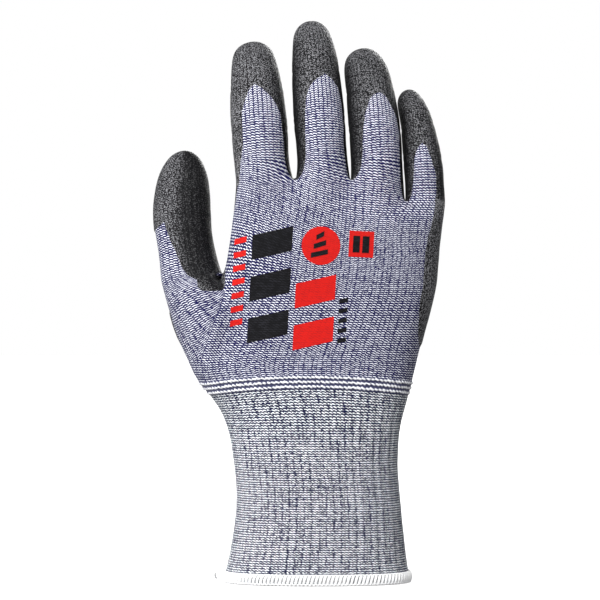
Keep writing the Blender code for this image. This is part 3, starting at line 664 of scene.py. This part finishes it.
def relief(form):
    """How far the outside of the liner stands off the form."""
    course = body_course(form.points)
    found = 0.35 * noise_at(form.points, 22.0) + 0.12 * noise_at(form.points, 7.0)
    body = form.part == "body"
    cuff = body * smooth_step(WELT_LOW + 1, WELT_LOW - 2, course)
    found += cuff * RIB_DEPTH * np.cos(2 * np.pi * form.wale / RIB_WALES)
    rows = (course > WELT_LOW) & (course < WELT_HIGH) & body
    found += rows * WELT_RISE * np.sin(np.pi * (course - WELT_LOW) / WELT_PITCH) ** 2
    palm_side = np.clip(-np.cos(np.radians(turned(form.wale))), 0, 1)
    for name, reaches in REACHES.items():
        here = form.part == name
        for knuckle in reaches[:2]:
            crease = bell(form.along - knuckle, 1.3) + 0.7 * bell(form.along - knuckle - 3.4, 1.0)
            found -= here * crease * (0.18 + 0.3 * palm_side)
    length = smooth_step(2, 14, form.along) * smooth_step(58, 46, form.along)
    return found - (form.part == "thumb") * length * 0.45 * thumb_creases(form)


# --- Pieces: parts of the form as thin closed shells ---

PLACE, WAY, SHADE = slice(0, 3), slice(3, 6), slice(6, 9)
# The last column holds the painted shade on the coating
LIFT, COAT, PAINTED_SHADE_COLUMN = 9, 10, 11


class Patch:
    """Faces of the form. data has a row for each point: its place, way out, normal, lift, how far
    it is inside the coating, and the painted shade on the coating."""

    def __init__(self, faces, corners, data):
        self.faces, self.corners, self.data = faces, corners, data

    def where(self, values):
        """The part of the patch where the values at its points are positive."""
        values = list(np.where(np.abs(values) < 0.01, 0.0, values))
        rows, made = [], {}

        def crossing(a, b):
            low, high = min(a, b), max(a, b)
            if (low, high) not in made:
                share = values[low] / (values[low] - values[high])
                made[low, high] = len(self.data) + len(rows)
                rows.append(self.data[low] * (1 - share) + self.data[high] * share)
            return made[low, high]

        faces, corners = [], []
        for face, stitches in zip(self.faces, self.corners):
            signs = [values[v] for v in face]
            if max(signs) <= 0:
                continue
            kept, kept_corners = [], []
            for i, v in enumerate(face):
                j = (i + 1) % len(face)
                if signs[i] >= 0:
                    kept.append(v)
                    kept_corners.append(stitches[i])
                if signs[i] * signs[j] < 0:
                    share = signs[i] / (signs[i] - signs[j])
                    kept.append(crossing(v, face[j]))
                    kept_corners.append(stitches[i] * (1 - share) + stitches[j] * share)
            if len(kept) > 2:
                faces.append(kept)
                corners.append(np.array(kept_corners))
        return Patch(faces, corners, np.vstack([self.data, *rows]))


def keep_values(mesh, name, kind, domain, values):
    attribute = mesh.attributes.new(name, kind, domain)
    key = "value" if kind == "FLOAT" else "vector"
    attribute.data.foreach_set(key, values.astype(np.float32).ravel())


def finished_piece(name, mesh, look):
    mesh.materials.append(LOOKS[look])
    piece = placed(name, mesh)
    return piece


def shell(name, patch, outside, inside, look):
    """A closed piece between two lifts off the form, each given at the patch's points."""
    used = sorted({v for face in patch.faces for v in face})
    number = {v: i for i, v in enumerate(used)}
    count = len(used)
    data = patch.data[used]
    outer, inner = (data[:, PLACE] + data[:, WAY] * lift[used][:, None] for lift in (outside, inside))
    faces = [[number[v] for v in face] for face in patch.faces]
    below = [[v + count for v in reversed(face)] for face in faces]
    rim = [[b, a, a + count, b + count] for a, b in sorted(boundary_edges(faces))]
    mesh = bpy.data.meshes.new(name)
    mesh.from_pydata(metres(np.vstack([outer, inner])), [], faces + below + rim)
    mesh.polygons.foreach_set("use_smooth", [True] * (2 * len(faces)) + [False] * len(rim))
    outer_points = [v for face in faces for v in face]
    inner_points = [v for face in faces for v in reversed(face)]
    outer_stitches = np.vstack(patch.corners)
    inner_stitches = np.vstack([c[::-1] for c in patch.corners])
    at_point = np.zeros((count, 3))
    at_point[outer_points] = outer_stitches
    rim_stitches = at_point[[v % count for face in rim for v in face]]
    stitches = np.vstack([outer_stitches, inner_stitches, rim_stitches])
    keep_values(mesh, "stitch", "FLOAT_VECTOR", "CORNER", stitches)
    keep_values(mesh, "rest", "FLOAT_VECTOR", "POINT", np.tile(data[:, PLACE], (2, 1)))
    # The coating's painted shade, passed to its material as 'dark'
    keep_values(mesh, "dark", "FLOAT", "POINT", np.tile(data[:, PAINTED_SHADE_COLUMN], 2))
    shade = data[:, SHADE]
    normals = np.vstack([shade[outer_points], -shade[inner_points], np.zeros((4 * len(rim), 3))])
    mesh.normals_split_custom_set(normals.tolist())
    return finished_piece(name, mesh, look)


class Glove:
    """The form cut into patches, and the pieces made of them."""

    def __init__(self):
        form = self.form = Form()
        lift = relief(form)
        shade = form.normals_of(form.points + form.normals * lift[:, None])
        # dark is the painted shade on the coating
        coat, dark = coating_field(form), painted_shade(form)
        self.data = np.column_stack([form.points, form.normals, shade, lift, coat, dark])
        self.corners = self.stitches()
        self.middle_course = form.corners[:, :, 1].mean(axis=1)
        self.middle_height = form.points[form.quads][:, :, 2].mean(axis=1)

    def stitches(self):
        """(wale, course, how clearly the wales show) at each quad's corners."""
        form = self.form
        wale, along = np.moveaxis(form.corners, 2, 0)
        x, _, z = form.points.T
        course = (body_course(form.points) + slant(x, z))[form.quads]
        clear = np.zeros_like(course)
        for name, (base, *_) in FINGERS.items():
            here = form.zones == name
            start = base[2] + slant(base[0], base[2])
            free = smooth_step(-2.0, BASE_FADE, along[here])
            course[here] = course[here] * (1 - free) + (along[here] + start) * free
            clear[here] = smooth_step(0.3, 0.5, along[here] / REACHES[name][-1])
        thumb = form.zones == "thumb"
        course[thumb] = along[thumb] + THUMB_RINGS[0][0][2]
        return np.stack([wale, course / COURSE, clear], axis=2)

    def patch(self, chosen):
        """The quads that are chosen, as a patch with its own points."""
        used, faces = np.unique(self.form.quads[chosen], return_inverse=True)
        return Patch(faces.reshape(-1, 4).tolist(), list(self.corners[chosen]), self.data[used])

    def zone(self, name, low=-np.inf, high=np.inf):
        """The quads of a part whose course lies between two."""
        inside = (self.middle_course >= low) & (self.middle_course < high)
        return (self.form.zones == name) & inside


def knit_piece(name, patch, look="knit"):
    lift = patch.data[:, LIFT]
    return shell(name, patch, lift, np.full(len(lift), -LINER_WALL), look)


def coating_piece(name, patch):
    patch = patch.where(patch.data[:, COAT])
    inside = patch.data[:, LIFT] + LAYER_GAP
    wall = COATING_RIM + COATING_WALL * smooth_step(0.0, COATING_EDGE, patch.data[:, COAT])
    return shell(name, patch, inside + wall, inside, "coating")


# --- Materials ---

BACK_HEIGHTS = (165.0, 190.0)


class Nodes:
    """A node tree that takes a (value, weight) pair, for their product, wherever it takes a value."""

    def __init__(self, owner):
        owner.use_nodes = True
        self.tree = owner.node_tree

    def put(self, socket, value):
        if isinstance(value, tuple) and isinstance(value[0], bpy.types.NodeSocket):
            value = self.node("Math", *value, operation="MULTIPLY").outputs[0]
        if isinstance(value, bpy.types.NodeSocket):
            self.tree.links.new(value, socket)
        elif value is not None:
            socket.default_value = value

    def node(self, kind, *values, **settings):
        """A new node, with its settings and the values of its first sockets."""
        node = self.tree.nodes.new("ShaderNode" + kind)
        for setting, value in settings.items():
            setattr(node, setting, value)
        for socket, value in zip(node.inputs, values):
            self.put(socket, value)
        return node



class Look(Nodes):
    """A material and short ways to add nodes to it."""

    def __init__(self, name, roughness, **sockets):
        self.material = bpy.data.materials.new(name)
        super().__init__(self.material)
        self.shader = self.tree.nodes["Principled BSDF"]
        for socket, value in {"Roughness": roughness, **sockets}.items():
            self.shader.inputs[socket.replace("_", " ")].default_value = value

    def math(self, operation, *values):
        return self.node("Math", *values, operation=operation).outputs[0]

    def add(self, *values):
        total = values[0]
        for value in values[1:]:
            total = self.math("ADD", total, value)
        return total

    def ramp(self, value, *ends):
        """A value carried smoothly from one range to another, from 0 to 1 if none is given."""
        return self.node("MapRange", value, *ends, interpolation_type="SMOOTHSTEP").outputs[0]

    def wave(self, turns):
        """From 0 to 1 and back with each turn, and 1 where turns is whole."""
        angle = self.math("MULTIPLY", turns, 2 * pi)
        return self.math("MULTIPLY_ADD", self.math("COSINE", angle), 0.5, 0.5)

    def mix(self, share, a, b):
        node = self.node("Mix", share, data_type="RGBA")
        self.put(node.inputs[6], a)
        self.put(node.inputs[7], b)
        return node.outputs[2]

    def vector(self, x, y, z):
        return self.node("CombineXYZ", x, y, z).outputs[0]

    def split(self, vector):
        return self.node("SeparateXYZ", vector).outputs

    def attribute(self, name, output="Vector"):
        return self.node("Attribute", attribute_name=name).outputs[output]

    def noise(self, vector, scale, detail=2.0):
        return self.node("TexNoise", vector, None, scale, detail).outputs[0]

    def speck(self, vector):
        """A value for each whole cell of a vector."""
        cell = self.node("VectorMath", vector, operation="FLOOR").outputs[0]
        return self.node("TexWhiteNoise", cell).outputs[0]

    def bump(self, height, depth, strength):
        node = self.node("Bump", strength, depth * 0.001)
        self.put(node.inputs["Height"], height)
        self.put(self.shader.inputs["Normal"], node.outputs[0])

    def colour(self, colour):
        self.put(self.shader.inputs["Base Color"], colour)


def stitch_pattern(look):
    """(yarn, border, wale, course, clear). yarn is 1 on top of the loops and 0 between."""
    wale, course, clear = look.split(look.attribute("stitch"))
    inside = look.math("FRACT", wale)
    from_middle = look.math("ABSOLUTE", look.math("SUBTRACT", inside, 0.5))
    leg = (from_middle, look.math("MULTIPLY_ADD", clear, 1.2, 0.35))
    lean = (inside, look.math("MULTIPLY_ADD", clear, -0.45, 0.45))
    yarn = look.wave(look.add(course, leg, lean))
    return yarn, look.ramp(from_middle, 0.3, 0.5), wale, course, clear


def knit_look(name, pale, dark, balance, rib, uneven):
    """Heather yarn: pale and dark strands along the courses, in loops of uneven tone."""
    look = Look(name, 0.85, Specular_IOR_Level=0.15)
    yarn, border, wale, course, clear = stitch_pattern(look)
    strand = look.noise(look.vector((wale, 2.2), course, 0.0), 1.0, 0.0)
    loop = look.speck(look.vector((wale, 3.0), course, 0.0))
    place = look.attribute("rest")
    cloud = look.noise(place, 0.06, 3.0)
    ribs = look.wave((wale, 0.5))
    back = look.ramp(look.split(place)[2], *BACK_HEIGHTS, -0.06, 0.0)
    seen_border = (border, look.math("MULTIPLY_ADD", clear, 0.8, 0.35))
    tone = look.add((yarn, 1.9), (strand, 0.35), (loop, uneven), (cloud, 0.3), (clear, 0.25))
    tone = look.math("SUBTRACT", tone, seen_border)
    tone = look.add(tone, (ribs, rib), back, balance)
    look.colour(look.mix(look.ramp(tone, 0.45, 1.0), (*dark, 1), (*pale, 1)))
    look.bump(look.add((yarn, 0.6), (border, -0.5), (strand, 0.3)), 0.3, 0.45)
    return look.material


def welt_look():
    """The raised courses: fat pale twisted loops with dark gaps."""
    look = Look("welt_knit", 0.85, Sheen_Weight=0.15, Sheen_Roughness=0.5)
    wale, course, _ = look.split(look.attribute("stitch"))
    row = look.math("MULTIPLY", look.add((course, COURSE), -WELT_LOW), 1 / WELT_PITCH)
    ridge = look.wave(look.add(row, 0.5))
    link = look.wave(look.add(wale, (row, 0.8)))
    loop = look.speck(look.vector((wale, 2.0), (row, 2.0), 7.0))
    strand = look.noise(look.vector(wale, (course, 2.0), 3.0), 0.9)
    tone = look.add((ridge, 0.95), (link, 0.55), (loop, 0.45), (strand, 0.5), -1.1)
    look.colour(look.mix(look.ramp(tone, 0.0, 0.6), (0.03, 0.032, 0.09, 1), (0.95, 0.96, 1.0, 1)))
    look.bump(look.add(ridge, (link, 0.6)), 0.5, 0.5)
    return look.material


def coating_look():
    """Polyurethane over the knitting: charcoal, grainy, with the loops showing through. Its grain's
    pale specks are raised on the loop tops as painted glints.
    """
    look = Look("coating", 0.62, Specular_IOR_Level=0.15)
    yarn, border, _, _, _ = stitch_pattern(look)
    rest = look.attribute("rest")
    grain = look.noise(rest, 2.0, 0.0)
    cloud = look.noise(rest, 0.05, 3.0)
    # The 'dark' attribute is painted shade: it darkens the coating and dims its pale specks
    dark = look.attribute("dark", "Fac")
    # The specks are the coating's grain, with painted glints on the loop tops
    tone = look.add((grain, 2.6), (yarn, 0.3), (border, -0.25), (cloud, 0.4), (dark, -0.25))
    pale = look.mix(dark, (0.24, 0.24, 0.255, 1), (0.012, 0.012, 0.012, 1))
    look.colour(look.mix(look.ramp(tone, 1.5, 2.0), (0.004, 0.004, 0.005, 1), pale))
    look.bump(look.add((grain, 1.5), (border, -0.4), (yarn, 0.3)), 0.3, 0.5)
    look.put(look.shader.inputs["Roughness"], look.ramp(grain, 0.3, 0.7, 0.72, 0.5))
    return look.material


def ink_look(name, colour, worn):
    """Ink that lies on the loops, thin in the grooves between courses."""
    look = Look(name, 0.8, Specular_IOR_Level=0.08)
    yarn, border, wale, course, _ = stitch_pattern(look)
    strand = look.noise(look.vector(wale, course, 5.0), 0.9, 3.0)
    share = look.ramp(look.add((yarn, 0.35), strand), 0.35, 0.75)
    look.colour(look.mix(share, (*worn, 1), (*colour, 1)))
    look.bump(look.add((yarn, 0.6), (border, -0.4)), 0.3, 0.4)
    return look.material


def thread_look(name, pale, shade, size, roughness):
    """Spun thread with fine fibres and uneven tone."""
    look = Look(name, roughness, Sheen_Weight=0.25, Sheen_Roughness=0.5)
    place = look.node("TexCoord").outputs["Object"]
    fibre = look.noise(place, 1000.0 / size, 3.0)
    broad = look.noise(place, 220.0)
    share = look.ramp(look.add((fibre, 0.7), (broad, 0.5)), 0.4, 0.75)
    look.colour(look.mix(share, (*shade, 1), (*pale, 1)))
    look.bump(fibre, 0.15, 0.5)
    return look.material


LOOKS = {
    "knit": knit_look("knit", (0.90, 0.92, 1.0), (0.009, 0.009, 0.065), -1.31, -0.14, 0.55),
    "cuff": knit_look("cuff_knit", (0.94, 0.98, 1.0), (0.009, 0.011, 0.045), -1.26, -0.32, 1.0),
    "welt": welt_look(),
    "coating": coating_look(),
    "print_black": ink_look("print_black", (0.006, 0.006, 0.007), (0.018, 0.018, 0.022)),
    "print_red": ink_look("print_red", (0.59, 0.013, 0.01), (0.42, 0.012, 0.012)),
    "hem_thread": thread_look("hem_thread", (1.0, 1.0, 1.0), (0.86, 0.87, 0.89), 0.5, 0.8),
    "elastic": thread_look("elastic", (0.72, 0.72, 0.7), (0.5, 0.5, 0.48), 0.8, 0.6),
}


# --- The knitted and coated pieces ---

def add_stretch(glove, part, label, fold, cuts):
    """The knitting and coating of one stretch of a finger, in place of the CAD parts of its fold."""
    patch = glove.patch(glove.zone(part, *cuts))
    piece = knit_piece(f"{part}_{label}", patch)
    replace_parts(piece, f"{part}_{fold}", f"{part}_{label}_knit")
    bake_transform(piece)
    coat = coating_piece(f"{part}_{label}_coat", patch)
    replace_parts(coat, f"{part}_{label}_coating")
    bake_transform(coat)


def add_cuff(glove):
    body, z = glove.zone("body"), glove.middle_height
    low, high = WRIST_PIECE
    piece = knit_piece("lower_cuff", glove.patch(body & (z < low)), "cuff")
    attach(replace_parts(piece, "lower_cuff_knit"), "cuff")
    piece = knit_piece("wrist", glove.patch(body & (z >= low) & (z < high)), "cuff")
    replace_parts(piece, "wrist_fold")
    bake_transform(piece)
    upper = glove.patch(body & (z >= high) & (z < UPPER_CUFF_TOP))
    course = body_course(upper.data[:, PLACE])
    piece = knit_piece("upper_cuff", upper.where(WELT_LOW - course), "cuff")
    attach(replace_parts(piece, "upper_cuff_knit"), "hand")
    rows = upper.where(course - WELT_LOW)
    rows = rows.where(WELT_HIGH - body_course(rows.data[:, PLACE]))
    piece = knit_piece("welt", rows, "welt")
    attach(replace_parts(piece, "transition_welt"), "hand")


def add_hand(glove):
    body = glove.zone("body") & (glove.middle_height > HAND_LOW)
    patch = glove.patch(body | glove.zone("thumb", high=0.0))
    patch = patch.where(body_course(patch.data[:, PLACE]) - WELT_HIGH)
    piece = knit_piece("hand", patch)
    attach(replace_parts(piece, "hand_knit"), "hand")
    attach(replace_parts(coating_piece("palm_coat", patch), "palm_coating"), "hand")


def add_finger(glove, name):
    folds = (FIRST_FOLD, *REACHES[name][:2])
    cuts = (-np.inf, (folds[0] + folds[1]) / 2, (folds[1] + folds[2]) / 2, np.inf)
    labels = (("knuckle_fold", "base"), ("middle_joint_fold", "middle"), ("end_joint_fold", "tip"))
    for i, (fold, label) in enumerate(labels):
        middle, way = finger_place(name, folds[i])
        add_stretch(glove, name, label, fold, cuts[i : i + 2])


def add_thumb(glove):
    middles = thumb_middles()
    cut = (middles[2] - middles[1]).length + (middles[1] - middles[0]).length
    add_stretch(glove, "thumb", "base", "base_fold", (0.0, cut))
    spans = (cut, np.inf)
    add_stretch(glove, "thumb", "tip", "end_joint_fold", spans)


# --- Printed marks ---

def bars(count, corner, step, height, rise):
    """Outlines of slanted bars in a row. corner is the first's left, right and lower edge, and
    step is how much each of them grows from bar to bar."""
    outlines = []
    for i in range(count):
        left, right, low = (start + i * further for start, further in zip(corner, step))
        high = low + height
        outlines.append(((left, low), (right, low + rise), (right, high + rise), (left, high)))
    return outlines


def round_mark(x, z, radius, sides):
    steps = [2 * pi * (i + 0.5) / sides for i in range(sides)]
    return tuple((x + radius * cos(a), z + radius * sin(a)) for a in steps)


def leaned(outline):
    """An outline turned a little, as the marks are printed."""
    across, up = cos(MARK_LEAN), sin(MARK_LEAN)
    px, pz = MARK_PIVOT
    return [(px + (x - px) * across - (z - pz) * up, pz + (x - px) * up + (z - pz) * across)
            for x, z in outline]


def add_mark(glove, name, outline, ink, layer):
    form = glove.form
    outline = leaned(outline)
    centres = form.points[form.quads].mean(axis=1)
    near = (form.zones == "body") & (centres[:, 1] < 0)
    for axis, values in zip((0, 2), zip(*outline)):
        near &= (centres[:, axis] > min(values) - 3) & (centres[:, axis] < max(values) + 3)
    patch = glove.patch(near)
    for (x, z), (next_x, next_z) in zip(outline, outline[1:] + outline[:1]):
        length = hypot(next_x - x, next_z - z)
        across = (-(next_z - z) / length, (next_x - x) / length)
        place = patch.data[:, PLACE]
        patch = patch.where((place[:, 0] - x) * across[0] + (place[:, 2] - z) * across[1])
    inside = patch.data[:, LIFT] + LAYER_GAP + layer * (INK_WALL + LAYER_GAP)
    piece = shell(name, patch, inside + INK_WALL, inside, ink)
    if name in CAD_MARKS:
        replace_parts(piece, f"print_{name}")
    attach(piece, "hand")


def add_marks(glove):
    badge = ((13.6, 147.4), (24.6, 147.4), (24.6, 159.0), (13.6, 159.0))
    marks = (
        ("black_bar", "print_black", 0, bars(3, (-29.4, -11.6, 106.5), (0, 0, 18.6), 11.0, 5.0)),
        ("red_bar", "print_red", 0, bars(2, (-9.0, 8.6, 104.5), (0, 0, 18.6), 11.0, 5.0)),
        ("red_disc", "print_red", 0, [round_mark(1.2, 151.6, 8.6, 40)]),
        ("disc_bar", "print_black", 1, bars(3, (-3.0, 4.4, 146.0), (1, -1, 4.0), 2.2, 2.0)),
        ("red_badge", "print_red", 0, [badge]),
        ("badge_bar", "print_black", 1, bars(2, (15.4, 18.4, 149.4), (4.2, 4.2, 0), 7.4, 0.0)),
        ("red_dash", "print_red", 0, bars(7, (-37.4, -32.0, 113.4), (0, 0, 6.1), 2.6, 1.6)),
        ("black_dash", "print_black", 0, bars(5, (10.6, 14.4, 108.6), (0, 0, 4.4), 2.0, 1.0)),
    )
    for name, ink, layer, outlines in marks:
        for i, outline in enumerate(outlines):
            label = f"{name}_{i + 1}" if len(outlines) > 1 else name
            add_mark(glove, label, outline, ink, layer)


# --- Hem ---

class Hem:
    """The line of the cuff's edge."""

    def __init__(self, form):
        low = form.points[:, 2] < form.points[:, 2].min() + 0.05
        edge = form.points[low][:, :2]
        edge = edge[np.argsort(np.arctan2(edge[:, 1], edge[:, 0]))]
        steps = norm(np.roll(edge, -1, axis=0) - edge, axis=1)
        self.round = steps.sum()
        self.distances = np.concatenate([[0], np.cumsum(steps)])
        self.edge = np.vstack([edge, edge[:1]])

    def place(self, distance, out, height):
        """A point at a distance round the edge, out from it and up from the floor."""
        at = (distance + np.array([0, -0.5, 0.5])) % self.round
        x, y = (np.interp(at, self.distances, self.edge[:, i]) for i in range(2))
        along_x, along_y = x[2] - x[1], y[2] - y[1]
        length = hypot(along_x, along_y)
        return np.array([x[0] + out * along_y / length, y[0] - out * along_x / length, height])


def tube(points, radius, sides, closed=False):
    """Points and faces of a round thread along points, with flat ends."""
    points = np.array(points)
    count = len(points)
    ahead = np.roll(points, -1, axis=0) - np.roll(points, 1, axis=0)
    if not closed:
        ahead[0], ahead[-1] = points[1] - points[0], points[-1] - points[-2]
    ahead /= norm(ahead, axis=1)[:, None]
    side = np.cross(ahead[0], (0.3, 0.2, 1.0))
    verts, faces = [], []
    for point, way in zip(points, ahead):
        side = side - way * (side @ way)
        side /= norm(side)
        other = np.cross(way, side)
        for j in range(sides):
            angle = 2 * pi * j / sides
            verts.append(point + radius * (cos(angle) * side + sin(angle) * other))
    for i in range(count if closed else count - 1):
        low, high = i * sides, ((i + 1) % count) * sides
        for j in range(sides):
            k = (j + 1) % sides
            faces.append((low + j, low + k, high + k, high + j))
    if not closed:
        faces.append(tuple(reversed(range(sides))))
        faces.append(tuple(range((count - 1) * sides, count * sides)))
    return verts, faces


def thread_piece(name, tubes):
    verts, faces = [], []
    for tube_verts, tube_faces in tubes:
        faces += [tuple(v + len(verts) for v in face) for face in tube_faces]
        verts += tube_verts
    mesh = bpy.data.meshes.new(name)
    mesh.from_pydata(metres(verts), [], faces)
    mesh.shade_smooth()
    return finished_piece(name, mesh, "hem_thread")


def add_hem(form):
    hem = Hem(form)
    pitch = hem.round / HEM_LOOPS
    loops = []
    for i in range(HEM_LOOPS):
        reach = 4.9 + 0.5 * noise.noise(Vector((i * 0.7, 2.0, 5.0)))
        bulk = 0.7 + 0.08 * noise.noise(Vector((i * 1.3, 7.0, 1.0)))
        path = ((-1.7, reach - 0.6, -0.5), (-1.7, 2.6, -0.3), (-1.4, 1.2, -0.1), (-0.4, 0.78, 0.1),
                (0.6, 1.1, 0.3), (0.95, 2.4, 0.5), (0.8, 3.8, 0.9), (0.3, reach, 1.5))
        points = [hem.place(i * pitch + along, out, up) for out, up, along in path]
        loops.append(tube(points, bulk, 8))
    piece = thread_piece("overlock_loops", loops)
    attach(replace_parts(piece, "hem_overlock"), "cuff")
    lines = []
    for height, out, swing, radius in HEM_CHAINS:
        points = []
        for distance in np.arange(HEM_CHAIN_STEPS) * hem.round / HEM_CHAIN_STEPS:
            wave = sin(2 * pi * distance / pitch)
            points.append(hem.place(distance, out, height + swing * wave))
        lines.append(tube(points, radius, 6, closed=True))
    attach(thread_piece("overlock_chain", lines), "cuff")


def add_tail():
    """The end of the overlock thread, of two twisted plies, along the CAD thread."""
    knots = np.arange(len(TAIL_ROUTE))
    at = np.linspace(0, knots[-1], 40)
    middle = np.column_stack([np.interp(at, knots, values) for values in zip(*TAIL_ROUTE)])
    for _ in range(6):
        middle[1:-1] = middle[:-2] * 0.25 + middle[1:-1] * 0.5 + middle[2:] * 0.25
    plies = []
    for ply in range(2):
        angle = at * 5.0 + pi * ply
        swing = 0.24 * np.column_stack([np.cos(angle), np.zeros(len(at)), np.sin(angle)])
        plies.append(tube(middle + swing, 0.3, 8))
    piece = thread_piece("overlock_tail", plies)
    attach(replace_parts(piece, "hem_thread_tail"), "cuff")


# --- Stage ---

def add_stage():
    bpy.ops.mesh.primitive_plane_add(size=12.0, location=(0, 0, 0))
    floor = bpy.context.object
    floor.name = "floor"
    white = (1, 1, 1, 1)
    look = Look(
        "floor", 0.9, Specular_IOR_Level=0.1, Emission_Color=white, Emission_Strength=0.62
    )
    look.colour((0.93, 0.93, 0.93, 1))
    floor.data.materials.append(look.material)
    floor.visible_diffuse = floor.visible_glossy = False
    world = bpy.context.scene.world = bpy.data.worlds.new("studio")
    studio = Nodes(world)
    rays = studio.node("LightPath").outputs["Is Camera Ray"]
    surround, seen = (studio.node("Background", white, light).outputs[0] for light in (0.3, 1.0))
    choice = studio.node("MixShader", rays, surround, seen).outputs[0]
    studio.put(studio.tree.nodes["World Output"].inputs[0], choice)
    for light in LIGHTS:
        add_light(*light)
    bpy.context.scene.view_settings.view_transform = "Standard"


def add_light(kind, name, place, strength, size):
    data = bpy.data.lights.new(name, kind)
    data.energy = strength
    if kind == "SUN":
        data.angle = size
    else:
        data.shape, data.size = "DISK", size
    light = placed(name, data)
    light.location = place
    aim = Vector((0, 0, 0.12)) - light.location
    light.rotation_euler = aim.to_track_quat("-Z", "Y").to_euler()


def add_camera():
    """Square on to the back of the hand, from far enough for a long lens."""
    data = bpy.data.cameras.new("camera")
    data.lens, data.sensor_width = 200.0, 36.0
    width = 0.27
    camera = placed("camera", data)
    camera.location = (-0.0072, -width * data.lens / data.sensor_width, 0.1269)
    camera.rotation_euler = (pi / 2, 0, 0)
    bpy.context.scene.camera = camera


add_camera()
glove = Glove()
add_cuff(glove)
add_hand(glove)
for name in FINGERS:
    add_finger(glove, name)
add_thumb(glove)
add_marks(glove)
add_hem(glove.form)
add_tail()
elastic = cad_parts["cuff_elastic"]
elastic.data.materials.clear()
elastic.data.materials.append(LOOKS["elastic"])
add_stage()
